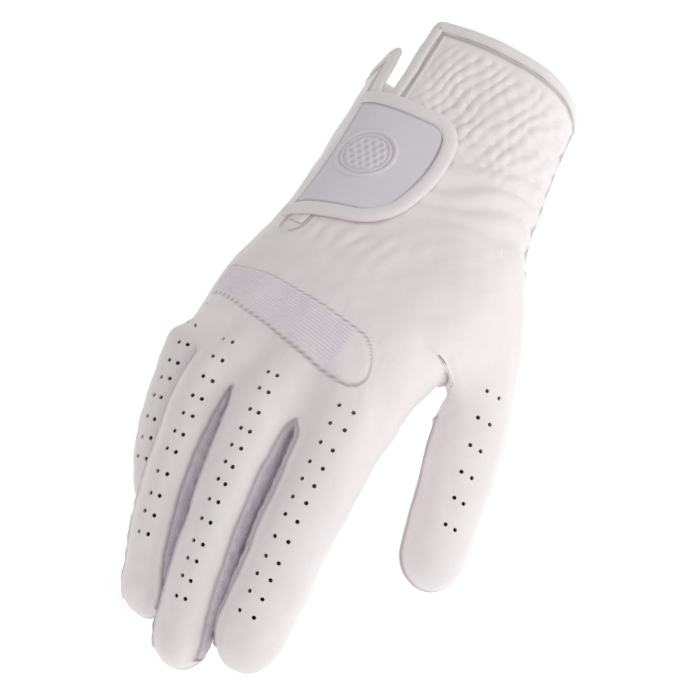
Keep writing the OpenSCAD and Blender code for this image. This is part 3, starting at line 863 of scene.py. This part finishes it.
# ---------------------------------------------------------------- repeated details
def repeat_tree(name, kind):
    """Stitches along lines, or punches at points. The direction away from the cloth is the attribute up."""
    tree = bpy.data.node_groups.new(name, "GeometryNodeTree")
    face = tree.interface
    face.new_socket("Geometry", in_out="INPUT", socket_type="NodeSocketGeometry")
    names = ["Pitch", "Length", "Width"] if kind == "stitch" else ["Radius", "Depth"]
    ids = {n: face.new_socket(n, in_out="INPUT", socket_type="NodeSocketFloat").identifier for n in names}
    ids["Finish"] = face.new_socket("Finish", in_out="INPUT", socket_type="NodeSocketMaterial").identifier
    face.new_socket("Geometry", in_out="OUTPUT", socket_type="NodeSocketGeometry")
    made = {}

    def add(key, kind_of, settings=None, inputs=None):
        node = tree.nodes.new(kind_of)
        for a, b in (settings or {}).items():
            setattr(node, a, b)
        for a, b in (inputs or {}).items():
            if isinstance(b, bpy.types.NodeSocket):
                tree.links.new(b, node.inputs[a])
            else:
                node.inputs[a].default_value = b
        made[key] = node
        return node

    given = add("in", "NodeGroupInput")
    up = add("up", "GeometryNodeInputNamedAttribute", {"data_type": "FLOAT_VECTOR"}, {"Name": "up"})
    if kind == "stitch":
        curve = add("curve", "GeometryNodeMeshToCurve", None, {"Mesh": given.outputs["Geometry"]})
        spaced = add("spaced", "GeometryNodeResampleCurve", {"mode": "LENGTH"},
                     {"Curve": curve.outputs[0], "Length": given.outputs["Pitch"]})
        bead = add("bead", "GeometryNodeMeshUVSphere", None, {"Segments": 6, "Rings": 5, "Radius": 0.5})
        size = add("size", "ShaderNodeCombineXYZ", None,
                   {0: given.outputs["Length"], 1: given.outputs["Width"], 2: given.outputs["Width"]})
        shape = add("shape", "GeometryNodeTransform", None, {"Geometry": bead.outputs["Mesh"], "Scale": size.outputs[0]})
        turn = add("turn", "FunctionNodeAxesToRotation", {"primary_axis": "X", "secondary_axis": "Z"},
                   {0: add("way", "GeometryNodeInputTangent").outputs[0], 1: up.outputs["Attribute"]})
        source = spaced.outputs[0]
    else:
        dots = add("dots", "GeometryNodeMeshToPoints", None, {"Mesh": given.outputs["Geometry"]})
        punch = add("punch", "GeometryNodeMeshCylinder", None,
                    {"Vertices": 12, "Radius": given.outputs["Radius"], "Depth": given.outputs["Depth"]})
        shape = add("shape", "GeometryNodeTransform", None, {"Geometry": punch.outputs["Mesh"]})
        turn = add("turn", "FunctionNodeAxesToRotation", {"primary_axis": "Z", "secondary_axis": "X"},
                   {0: up.outputs["Attribute"], 1: (1.0, 0.0, 0.0)})
        source = dots.outputs[0]
    copies = add("copies", "GeometryNodeInstanceOnPoints", None,
                 {"Points": source, "Instance": shape.outputs[0], "Rotation": turn.outputs[0]})
    real = add("real", "GeometryNodeRealizeInstances", None, {"Geometry": copies.outputs[0]})
    painted = add("painted", "GeometryNodeSetMaterial", None,
                  {"Geometry": real.outputs[0], "Material": given.outputs["Finish"]})
    out = add("out", "NodeGroupOutput")
    tree.links.new(painted.outputs[0], out.inputs[0])
    return tree, ids


STITCH_TREE, STITCH_IDS = repeat_tree("stitches", "stitch")
PUNCH_TREE, PUNCH_IDS = repeat_tree("perforations", "punch")


def repeated(name, lines, tree, ids, **values):
    """lines are lists of (point, direction away from the cloth)."""
    points, ups, edges = [], [], []
    for line in lines:
        start = len(points)
        for p, n in line:
            points.append(p)
            ups.append(n)
        edges += [(i, i + 1) for i in range(start, len(points) - 1)]
    mesh = bpy.data.meshes.new(name)
    mesh.from_pydata(place(points).tolist(), edges, [])
    up = mesh.attributes.new("up", "FLOAT_VECTOR", "POINT")
    up.data.foreach_set("vector", np.array(ups, np.float32).ravel())
    obj = bpy.data.objects.new(name, mesh)
    bpy.context.scene.collection.objects.link(obj)
    modifier = obj.modifiers.new("repeat", "NODES")
    modifier.node_group = tree
    for key, value in values.items():
        modifier[ids[key]] = value
    return applied(obj)


def stitches(name, lines, pitch=1.5, length=0.8, width=0.34):
    obj = repeated(name, lines, STITCH_TREE, STITCH_IDS, Pitch=pitch * MM, Length=length * MM, Width=width * MM,
                   Finish=FINISH["thread"])
    obj.data.polygons.foreach_set("use_smooth", [True] * len(obj.data.polygons))
    return obj


def swept(name, path, ups, insides, profile, finish, shade_edge=None):
    """A strip with a closed profile of (inwards, upwards) points along an open path, closed at both ends."""
    n, m = len(path), len(profile)
    points, seam = [], []
    length = np.concatenate([[0], np.cumsum(np.linalg.norm(np.diff(path, axis=0), axis=1))])
    around = np.concatenate([[0], np.cumsum([math.dist(profile[i], profile[(i + 1) % m]) for i in range(m)])])
    for i in range(n):
        for b, h in profile:
            points.append(path[i] + insides[i] * b + ups[i] * h)
            # painted shade on the part of the profile further in than the edge given
            seam.append(1.0 if shade_edge is not None and b > shade_edge else 0.0)
    faces, cloth = [], []
    for i in range(n - 1):
        for j in range(m):
            k = (j + 1) % m
            faces.append((i * m + j, i * m + k, (i + 1) * m + k, (i + 1) * m + j))
            cloth += [(around[j], length[i]), (around[j + 1], length[i]), (around[j + 1], length[i + 1]),
                      (around[j], length[i + 1])]
    for end, ring in ((0, list(range(m))[::-1]), (n - 1, [(n - 1) * m + j for j in range(m)])):
        faces.append(ring)
        cloth += [(around[j], length[end]) for j in range(m)]
    obj = mesh_object(name, points, faces, cloth, seam)
    face_outwards(obj)
    obj.data.materials.append(FINISH[finish])
    return obj


def face_outwards(obj):
    work = bmesh.new()
    work.from_mesh(obj.data)
    bmesh.ops.recalc_face_normals(work, faces=work.faces)
    work.to_mesh(obj.data)
    work.free()


# ---------------------------------------------------------------- panels of the skin
skin = Skin()
shape_skin(skin)
# for each digit: where its lower part starts and ends to follow, and the same for its upper part
BODY_SPLIT = {}
for d in DIGIT:
    m = middle_hinge(d)
    BODY_SPLIT[d] = {"lower": ("hand", f"{d}_lower", centre(d, 2.0), centre(d, 11.0)),
                     "upper": (f"{d}_lower", f"{d}_upper", centre(d, m - BEND_SPREAD), centre(d, m + BEND_SPREAD))}


def ride_digit(obj, d, half, slot, *nodes):
    first, then, start, end = BODY_SPLIT[d][half]
    return attach(obj, first, slot, *nodes, then=then, start=start, end=end)


def line_on(skin, points, ups, lift=0.12):
    """A line laid on the skin: each point drops along its direction, and is lifted a little."""
    line = []
    for p, n in zip(points, ups):
        hit, normal, _ = skin.drop(p, n)
        line.append((hit + unit(n) * lift, normal))
    return line


def digit_up(d, s, j):
    return unit(digit_point(d, s, j) - centre(d, s))


def digit_line(d, s_from, s_to, j_from, j_to, step=0.8):
    count = max(2, int((s_to - s_from) / step))
    pts, ups = [], []
    for t in np.linspace(0, 1, count):
        s, j = mix(s_from, s_to, t), mix(j_from, j_to, t)
        pts.append(digit_point(d, s, j))
        ups.append(digit_up(d, s, j))
    return pts, ups


# perforations: rows of round holes, two staggered rows to a digit
# digit: (number, first place, last place, outline place of each row at its start and end)
HOLE_ROWS = {"little": (9, -4, 41, ((2.9, 1.6), (3.4, 2.6))), "ring": (11, -5, 53, ((2.6, 1.7), (3.2, 2.6))),
             "middle": (13, -5, 61, ((1.9, 1.4), (2.5, 2.2))), "index": (12, -4, 57, ((1.35, 1.2), (2.15, 2.2))),
             "thumb": (6, -8, 33, ((1.3, 1.3), (2.2, 2.1)))}
holes = {}              # for each panel: the places and directions of its holes
for d, (count, first, last_s, rows) in HOLE_ROWS.items():
    draw = np.random.default_rng(len(d))
    for i, (j0, j1) in enumerate(rows):
        for c in range(count):
            t = (c + 0.06 * i) / (count - 1)
            s = mix(first, last_s, t) + draw.uniform(-0.25, 0.25)
            j = mix(j0, j1, t) + draw.uniform(-0.04, 0.04)
            p, n = digit_point(d, s, j), digit_up(d, s, j)
            hit, normal, face = skin.drop(p, n)
            labels = set()
            for ds in (-0.85, 0, 0.85):
                labels.add(skin.names[skin.piece[skin.drop(digit_point(d, s + ds, j), n)[2]]])
            for label in labels:
                holes.setdefault(label, []).append((hit, normal))

panels = {}
for name in skin.names:
    sides = name.endswith("sides")
    obj = wall_piece(skin, name, KNIT if sides else LEATHER)
    obj.data.materials.append(FINISH["grey_knit" if sides else "white_leather"])
    if name in holes:
        # the punches carry the near-black painted shade of the holes' walls
        cutter = repeated(name + "_punch", [[h] for h in holes[name]], PUNCH_TREE, PUNCH_IDS, Radius=0.66 * MM,
                          Depth=4.2 * MM, Finish=FINISH["hole_shade"])
        cut = obj.modifiers.new("holes", "BOOLEAN")
        cut.operation, cut.solver, cut.object = "DIFFERENCE", "MANIFOLD", cutter
        applied(obj)
        bpy.data.objects.remove(cutter)
    obj.data.set_sharp_from_angle(angle=math.radians(50))
    panels[name] = obj
    slot = "grey_knit" if sides else "white_leather"
    part = name.split("_")
    if part[0] in DIGIT and len(part) == 3:
        ride_digit(obj, part[0], part[1], slot, name)
    else:
        attach(obj, "hand", slot, name)

# ---------------------------------------------------------------- folded bindings of the hem and the slit
loop = np.array(skin.loop)
path = skin.points[loop]
for _ in range(6):
    path = (np.roll(path, 1, 0) + path * 2 + np.roll(path, -1, 0)) / 4
ups = skin.normals[loop]
for _ in range(8):
    ups = (np.roll(ups, 1, 0) + ups * 2 + np.roll(ups, -1, 0)) / 4
ups /= np.linalg.norm(ups, axis=1)[:, None]
along = np.roll(path, -1, 0) - np.roll(path, 1, 0)
along /= np.linalg.norm(along, axis=1)[:, None]
inside = np.cross(ups, along)
spots = skin.spot[loop]
hem_index = int(np.argmin(np.abs(spots[:, 1]) + np.abs(spots[:, 0] / 4.6 - 20)))
if inside[hem_index][1] > 0:        # at the hem, inwards is towards the fingers
    inside = -inside
# the loop starts at the end of the slit and runs round; its three stretches are two slit edges and the hem
apex = int(np.argmax(spots[:, 1]))
order = np.roll(np.arange(len(loop)), -apex)
HEM_TURN = 2.5
u_along = spots[order, 1]
hem = np.nonzero(u_along < HEM_TURN)[0]
stretches = {"first": order[1:hem[0] + 1], "cuff_binding": order[hem[0]:hem[-1] + 1],
             "second": order[hem[-1]:]}
FOLD = [(4.05, 0.04), (3.95, 0.42), (3.3, 0.72), (2.2, 0.84), (1.0, 0.80), (0.0, 0.62), (-0.65, 0.25), (-0.95, -0.35),
        (-0.7, -0.95), (0.0, -1.35), (1.6, -1.5), (3.1, -1.4), (3.2, -0.95), (0.4, -0.92), (0.02, -0.6), (0.02, -0.2),
        (0.4, 0.03), (2.2, 0.06)]
NARROW = [(b * 0.86 if b > 0 else b, h) for b, h in FOLD]
for key, which in stretches.items():
    if key == "cuff_binding":
        name, profile = "cuff_binding", FOLD
    else:
        side = skin.points[loop[which[len(which) // 2]]][0] - hand_point(40, SLIT_COL)[0]
        name = "slit_binding_thumb_side" if side > 0 else "slit_binding_little_side"
        profile = FOLD if side > 0 else NARROW
    if name == "slit_binding_little_side":
        keep = skin.spot[loop[which], 1] < SLIT_LENGTH + 2
        which = which[keep]
    strip = swept(name, path[which], ups[which], inside[which], profile, "binding_leather")
    attach(strip, "hand", "white_leather", name)

# ---------------------------------------------------------------- patches that follow the back of the hand


def lifted(u, k, h):
    return hand_point(u, k) + hand_normal(u, k) * h


def covered(u, k, h):
    """A place h above the skin itself."""
    n = hand_normal(u, k)
    return skin.drop(hand_point(u, k), n)[0] + n * h


def slab(name, top, cloth, thick, finish, seam=None, closed=False):
    """A sheet from a grid of top points. Its underside lies thick below the top, and flat quads close its rim."""
    rows, cols = len(top), len(top[0])
    grid = np.array(top, float)
    down = np.zeros_like(grid)
    for r in range(rows):
        for c in range(cols):
            ahead = (c + 1) % cols if closed else min(c + 1, cols - 1)
            behind = (c - 1) % cols if closed else max(c - 1, 0)
            a = grid[r][ahead] - grid[r][behind]
            b = grid[min(r + 1, rows - 1)][c] - grid[max(r - 1, 0)][c]
            down[r][c] = unit(np.cross(b, a))
    if np.mean(down[..., 2]) < 0:
        down = -down
    points = np.concatenate([grid.reshape(-1, 3), (grid - down * thick).reshape(-1, 3)])
    half, faces, uv = rows * cols, [], []
    wide = cols if closed else cols - 1

    def at(r, c):
        return r * cols + c % cols

    for r in range(rows - 1):
        for c in range(wide):
            q = [at(r, c), at(r, c + 1), at(r + 1, c + 1), at(r + 1, c)]
            faces += [q, [half + i for i in q[::-1]]]
            w = [cloth[i // cols][i % cols] for i in q]
            uv += w + w[::-1]
    edges = []
    edges += [(at(0, c), at(0, c + 1)) for c in range(wide)]
    edges += [(at(rows - 1, c + 1), at(rows - 1, c)) for c in range(wide)]
    if not closed:
        edges += [(at(r + 1, 0), at(r, 0)) for r in range(rows - 1)]
        edges += [(at(r, cols - 1), at(r + 1, cols - 1)) for r in range(rows - 1)]
    for a, b in edges:
        faces.append([b, a, half + a, half + b])
        w = [cloth[i // cols][i % cols] for i in (a, b)]
        uv += [w[1], w[0], w[0], w[1]]
    # the seam values are painted shade, for the top and the underside alike
    dark = None if seam is None else np.concatenate([np.ravel(seam)] * 2)
    obj = mesh_object(name, points, faces, uv, dark)
    face_outwards(obj)
    obj.data.materials.append(FINISH[finish])
    return obj


def band_piece():
    """Ribbed elastic over the knuckles, smooth at its rounded thumb end."""
    top, cloth, seam = [], [], []
    ribs, per_rib = 15, 6
    rows = ribs * per_rib
    for r in range(rows + 1):
        v = (r / rows - 0.5)
        line, where, dark = [], [], []
        for c in range(121):
            x = mix(BAND_X0, BAND_X1, c / 120)
            half = float(band_half(x))
            y = v * 2 * (half + 0.25)
            u, k = BAND_U + BAND_SLOPE * x + y, 8 + x / 4.05
            ribbed = 1 - smooth((x - 18.5) / 2.0)
            rib = abs(math.sin(math.pi * ribs * r / rows)) ** 0.7
            rim = min(1.0, (0.5 - abs(v)) * 2 * half / 0.8, (BAND_X1 - x) / 0.8 + 0.02)
            h = 0.55 * ribbed * rib + 0.30 * (1 - ribbed) + 0.10 + 0.30 * smooth(rim)
            line.append(covered(u, k, h))
            where.append((x, y))
            # painted shade: darker towards the band's rim, where it sits in its recess, and in the valleys between the
            # ribs; at the rim it also stands for a darker line of stitching
            dark.append(max(1 - float(smooth(rim * 2.0)), 0.5 * ribbed * (1 - rib) ** 1.5))
        top.append(line)
        cloth.append(where)
        seam.append(dark)
    return slab("knuckle_band", top, cloth, 0.6, "lilac_elastic", seam)


attach(band_piece(), "hand", "lilac_elastic", "knuckle_band")


def hand_line(places, lift=0.12):
    return line_on(skin, [hand_point(u, k) for u, k in places], [hand_normal(u, k) for u, k in places], lift)


def beside_band(offset, x_from, x_to, side):
    """Places along the band, at an offset outside its edge."""
    return [(BAND_U + BAND_SLOPE * x + side * (float(band_half(min(x, 0))) + offset), 8 + x / 4.05)
            for x in np.linspace(x_from, x_to, 60)]


band_lines = [hand_line(beside_band(o, a, 21, 1)) for o, a in ((2.2, -17), (3.9, -15))]
band_lines += [hand_line(beside_band(1.9, -8, 19, -1))]
turn = [(BAND_U + BAND_SLOPE * 22 + 8.0 * math.sin(a), 8 + (20.4 + 8.4 * math.cos(a)) / 4.05)
        for a in np.linspace(-1.3, 1.3, 24)]
band_lines += [hand_line(turn)]
attach(stitches("band_stitching", band_lines), "hand", "white_leather")

# a small leather patch strengthens the end of the slit
key_u, key_k = SLIT_LENGTH + 6.5, SLIT_COL - 0.6


def disc(radius_u, radius_x, rings, around, height, at_u, at_k, place_at):
    top, cloth = [], []
    for i in range(rings + 1):
        q = max(0.004, 1 - i / rings)
        line, where = [], []
        for j in range(around):
            t = -2 * math.pi * j / around
            du, dx = radius_u * q * math.sin(t), radius_x * q * math.cos(t)
            line.append(place_at(at_u + du, at_k + dx / column(at_u), height(q, du, dx)))
            where.append((dx, du))
        top.append(line)
        cloth.append(where)
    return top, cloth


top, cloth = disc(4.6, 6.0, 12, 48, lambda q, du, dx: 0.12 + 0.55 * float(smooth((1 - q) / 0.12)) + 0.25 * (1 - q * q)
                  - 0.35 * math.exp(-((q - 0.8) / 0.06) ** 2), key_u, key_k, covered)
attach(slab("keyhole_patch", top, cloth, 0.5, "binding_leather", closed=True),
       "hand", "white_leather", "keyhole_patch")

# ---------------------------------------------------------------- closure tab
TAB_START, TAB_REACH, TAB_ROOT, TAB_LIFT = 30.0, 36.0, 0.5, 1.6


def tab_spot(x, w):
    """Distance from the hem and column at x across from the fixed edge and w along it."""
    u = TAB_START + w
    return u, TAB_ROOT + x / column(u)


def tab_outline(inset, keep_root=0.0, count=200):
    """Outline of the tab in (x, w), set in by inset on its three free sides."""
    corners = [(0, 0, 0), (34.5, 4.5, 8), (37.2, 22, 18), (32.5, 46.5, 10), (0, 51, 0)]
    outline = []
    for i, (x, w, r) in enumerate(corners):
        if r == 0:
            outline.append((x, w))
            continue
        a, b = np.array(corners[i - 1][:2], float), np.array(corners[i + 1][:2], float)
        c = np.array((x, w), float)
        p = c + unit(a - c) * min(r, np.linalg.norm(a - c) * 0.49)
        q = c + unit(b - c) * min(r, np.linalg.norm(b - c) * 0.49)
        outline += [tuple((1 - t) ** 2 * p + 2 * t * (1 - t) * c + t * t * q) for t in np.linspace(0, 1, 14)]
    pts = np.array(outline)
    pts[:, 1] += -1.2 * np.sin(np.clip(pts[:, 0] / 34, 0, 1) * math.pi) * np.where(pts[:, 1] < 20, 1, -1)
    gap = np.concatenate([[0], np.cumsum(np.linalg.norm(np.diff(pts, axis=0), axis=1))])
    at = np.linspace(0, gap[-1], count)
    pts = np.stack([np.interp(at, gap, pts[:, i]) for i in (0, 1)], axis=1)
    way = np.gradient(pts, axis=0)
    way /= np.linalg.norm(way, axis=1)[:, None]
    inwards = np.stack([-way[:, 1], way[:, 0]], axis=1)
    pts = pts + inwards * inset
    pts[:, 0] = np.maximum(pts[:, 0], keep_root)
    if keep_root or inset:
        pts[0, 0] = pts[-1, 0] = keep_root
    return pts, inwards


def tab_height(x, w):
    """The tab lies closer at its root and stands a little proud at its free end."""
    root = 0.9 * (1 - float(smooth(x / 7)))
    free = 0.25 * float(smooth((x - 22) / 16))
    wave = 0.35 * math.sin(w / 9 + 1) * float(smooth(x / 30))
    return TAB_LIFT - root + free + wave


def tab_plate(name, outline, low, thick, finish, crown=0.0, rim_shade=0.0, across=44, along=56):
    """A plate that fills the outline with an even grid between its fixed edge and its three free sides."""
    n = len(outline)
    first, last = int(0.31 * n), int(0.69 * n)

    def side(pts, count):
        gap = np.concatenate([[0], np.cumsum(np.linalg.norm(np.diff(pts, axis=0), axis=1))])
        at = np.linspace(0, gap[-1], count + 1)
        return np.stack([np.interp(at, gap, pts[:, i]) for i in (0, 1)], axis=1)

    head, free = side(outline[:first + 1], across), side(outline[first:last + 1], along)
    foot = side(outline[last:][::-1], across)
    root = side(np.array([outline[0], outline[-1]]), along)
    top, cloth, seam = [], [], []
    for i in range(along + 1):
        t = i / along
        row, where, dark = [], [], []
        for j in range(across + 1):
            q = j / across
            corner = ((1 - q) * (1 - t) * head[0] + q * (1 - t) * head[-1]
                      + (1 - q) * t * foot[0] + q * t * foot[-1])
            x, w = (1 - t) * head[j] + t * foot[j] + (1 - q) * root[i] + q * free[i] - corner
            rim = min(j, across - j, i, along - i) / 2.0
            row.append(lifted(*tab_spot(x, w), tab_height(x, w) + low + crown * float(smooth(rim))))
            where.append((x, w))
            # painted shade: darker over the two rows nearest the rim
            dark.append(rim_shade * max(0.0, 1 - rim))
        top.append(row)
        cloth.append(where)
        seam.append(dark)
    return slab(name, top, cloth, thick, finish, seam)


outer, _ = tab_outline(0.6)
attach(tab_plate("tab_backing", outer, 0.8, 0.8, "white_leather"),
       "closure_tab", "white_leather", "tab_backing")
cloth_line, _ = tab_outline(BINDING - 0.15, 0.9)
# the tab's cloth has painted shade round its rim, next to the binding
attach(tab_plate("tab_face", cloth_line, 1.15, 0.6, "tab_cloth", crown=0.3, rim_shade=1.0), "closure_tab", "tab_cloth",
       "tab_face")
line, inwards = tab_outline(0.0)
strip_path, strip_up, strip_in = [], [], []
for (x, w), (ix, iw) in zip(line, inwards):
    u, k = tab_spot(x, w)
    strip_path.append(lifted(u, k, tab_height(x, w) + 0.8))
    strip_up.append(hand_normal(u, k))
    u2, k2 = tab_spot(x + ix, w + iw)
    ahead = lifted(u2, k2, tab_height(x + ix, w + iw) + 0.8) - strip_path[-1]
    strip_in.append(unit(ahead - strip_up[-1] * np.dot(ahead, strip_up[-1])))
TAB_FOLD = [(4.1, 0.06), (4.0, 0.55), (3.3, 0.92), (2.2, 1.05), (1.0, 1.0), (0.0, 0.72), (-0.55, 0.25), (-0.7, -0.35),
            (-0.4, -0.95), (0.3, -1.25), (1.8, -1.3), (2.6, -1.2), (2.6, -0.9), (0.7, -0.88), (0.5, -0.4), (0.7, 0.03)]
attach(swept("tab_binding", np.array(strip_path), np.array(strip_up), np.array(strip_in), TAB_FOLD, "binding_leather"),
       "closure_tab", "white_leather", "tab_binding")


def tab_top(x, w, h):
    u, k = tab_spot(x, w)
    return lifted(u, k, tab_height(x, w) + 1.45 + h)


def relief(q, dx, dw):
    """A raised ring with a field of dimples inside it."""
    radius = q * 10.2
    ring = 0.55 * math.exp(-((radius - 9.0) / 0.62) ** 4) + 0.32 * math.exp(-((radius - 7.3) / 0.4) ** 4)
    pitch = 2.5
    row = round(dw / (pitch * 0.866))
    near = (dx / pitch - 0.5 * (row % 2))
    off = math.hypot((near - round(near)) * pitch, dw - row * pitch * 0.866)
    field = float(smooth((6.8 - radius) / 0.7))
    return 0.02 + ring + field * (0.42 - 0.42 * math.exp(-(off / 0.85) ** 4))


top, cloth, dark = [], [], []
EMBLEM_X, EMBLEM_W, EMBLEM_RADIUS = 12.5, 24.0, 10.2
for i in range(61):
    q = max(0.003, 1 - i / 60)
    row_top, row_cloth, row_hollow_shade = [], [], []
    for j in range(144):
        t = -2 * math.pi * j / 144
        dx, dw = EMBLEM_RADIUS * q * math.cos(t), EMBLEM_RADIUS * q * math.sin(t)
        h = relief(q, dx, dw)
        row_top.append(tab_top(EMBLEM_X + dx, EMBLEM_W + dw, h))
        row_cloth.append((dx, dw))
        # painted shade: the colour darkens where the relief is low, in the dimples and the low ground round the rings
        row_hollow_shade.append(0.25 * (1 - min(1.0, h / 0.35)) if q < 0.97 else 0.0)
    top.append(row_top)
    cloth.append(row_cloth)
    dark.append(row_hollow_shade)
attach(slab("tab_emblem", top, cloth, 0.3, "tab_cloth", dark, closed=True),
       "closure_tab", "tab_cloth", "tab_emblem")

for name, body, low, thick, spread, finish in (("hook_patch", "closure_tab", -0.02, 0.5, (0.55, 0.88), "hooks"),
                                               ("loop_patch", "hand", None, 0.5, (0.45, 0.92), "loops")):
    top, cloth = [], []
    for w in np.linspace(14, 36, 20):
        row_top, row_cloth = [], []
        for x in np.linspace(TAB_REACH * spread[0], TAB_REACH * spread[1], 24):
            u, k = tab_spot(x, w)
            row_top.append(covered(u, k, 0.55) if low is None else lifted(u, k, tab_height(x, w) + low))
            row_cloth.append((x, w))
        top.append(row_top)
        cloth.append(row_cloth)
    attach(slab(name, top, cloth, thick, finish), body, "white_hook_and_loop", name)

# ---------------------------------------------------------------- stitching along the digits
for d in FINGERS:
    i = FINGERS.index(d)
    length, r = DIGIT[d][4:6]
    low, high = finger_steps(d)
    split = low[-1]
    for half, s0, s1 in (("lower", ROOT_S + 1, split), ("upper", split + 0.2, length - r * 0.75)):
        lines = []
        if i < 3:
            lines += [digit_line(d, s0, s1, 3.68, 3.68), digit_line(d, s0, s1, 3.3, 3.3)]
        if i > 0:
            lines += [digit_line(d, s0, s1, 0.34, 0.34)]
        obj = stitches(f"{d}_{half}_stitching", [line_on(skin, p, n, 0.08) for p, n in lines])
        ride_digit(obj, d, half, "white_leather")

# ---------------------------------------------------------------- floor, light and camera
FLOOR_SIZE = 6.0
floor_mesh = bpy.data.meshes.new("floor")
floor_corners = [(x * FLOOR_SIZE, y * FLOOR_SIZE, 0) for x, y in ((-1, -1), (1, -1), (1, 1), (-1, 1))]
floor_mesh.from_pydata(floor_corners, [], [(0, 1, 2, 3)])
floor = bpy.data.objects.new("floor", floor_mesh)
floor.location.z = -0.0006
bpy.context.scene.collection.objects.link(floor)
floor_paint = bpy.data.materials.new("floor_paint")
floor_paint.use_nodes = True
floor_paint.node_tree.nodes["Principled BSDF"].inputs["Base Color"].default_value = (0.95, 0.95, 0.95, 1)
floor_paint.node_tree.nodes["Principled BSDF"].inputs["Roughness"].default_value = 0.9
floor_paint.node_tree.nodes["Principled BSDF"].inputs["Emission Color"].default_value = (1, 1, 1, 1)
floor_paint.node_tree.nodes["Principled BSDF"].inputs["Emission Strength"].default_value = 0.42
floor.data.materials.append(floor_paint)

VIEW_AZIMUTH, VIEW_ELEVATION, VIEW_DISTANCE, VIEW_LENS = 28.0, 60.0, 0.8, 137.1
target = Vector(place((0, 0, 30)))
away = Vector((sine(VIEW_AZIMUTH) * cosine(VIEW_ELEVATION), -cosine(VIEW_AZIMUTH) * cosine(VIEW_ELEVATION),
               sine(VIEW_ELEVATION)))
camera_data = bpy.data.cameras.new("camera")
camera_data.lens, camera_data.sensor_width = VIEW_LENS, 36
camera_data.clip_start, camera_data.clip_end = 0.01, 20
camera = bpy.data.objects.new("camera", camera_data)
camera.location = target + away * VIEW_DISTANCE
camera.rotation_euler = (-away).to_track_quat("-Z", "Y").to_euler()
bpy.context.scene.collection.objects.link(camera)
bpy.context.scene.camera = camera


def softbox(name, place_at, size, power, colour=(1, 1, 1)):
    data = bpy.data.lights.new(name, "AREA")
    data.shape, data.size, data.size_y, data.energy, data.color = "RECTANGLE", size[0], size[1], power, colour
    lamp = bpy.data.objects.new(name, data)
    lamp.location = place_at
    lamp.rotation_euler = (target - Vector(place_at)).to_track_quat("-Z", "Y").to_euler()
    bpy.context.scene.collection.objects.link(lamp)


softbox("key", (0.75, 0.30, 0.50), (0.45, 0.45), 2.7, (1.0, 0.985, 0.975))
softbox("overhead", (0.25, 0.1, 1.0), (0.7, 0.7), 1.1)
softbox("fill", (0.1, -0.9, 0.6), (0.9, 0.9), 1.4, (1.0, 0.97, 0.975))
world = bpy.data.worlds.new("studio")
world.use_nodes = True
world.node_tree.nodes["Background"].inputs[0].default_value = (1.0, 0.973, 0.978, 1)
world.node_tree.nodes["Background"].inputs[1].default_value = 0.50
bpy.context.scene.world = world
bpy.context.scene.view_settings.view_transform = "Standard"
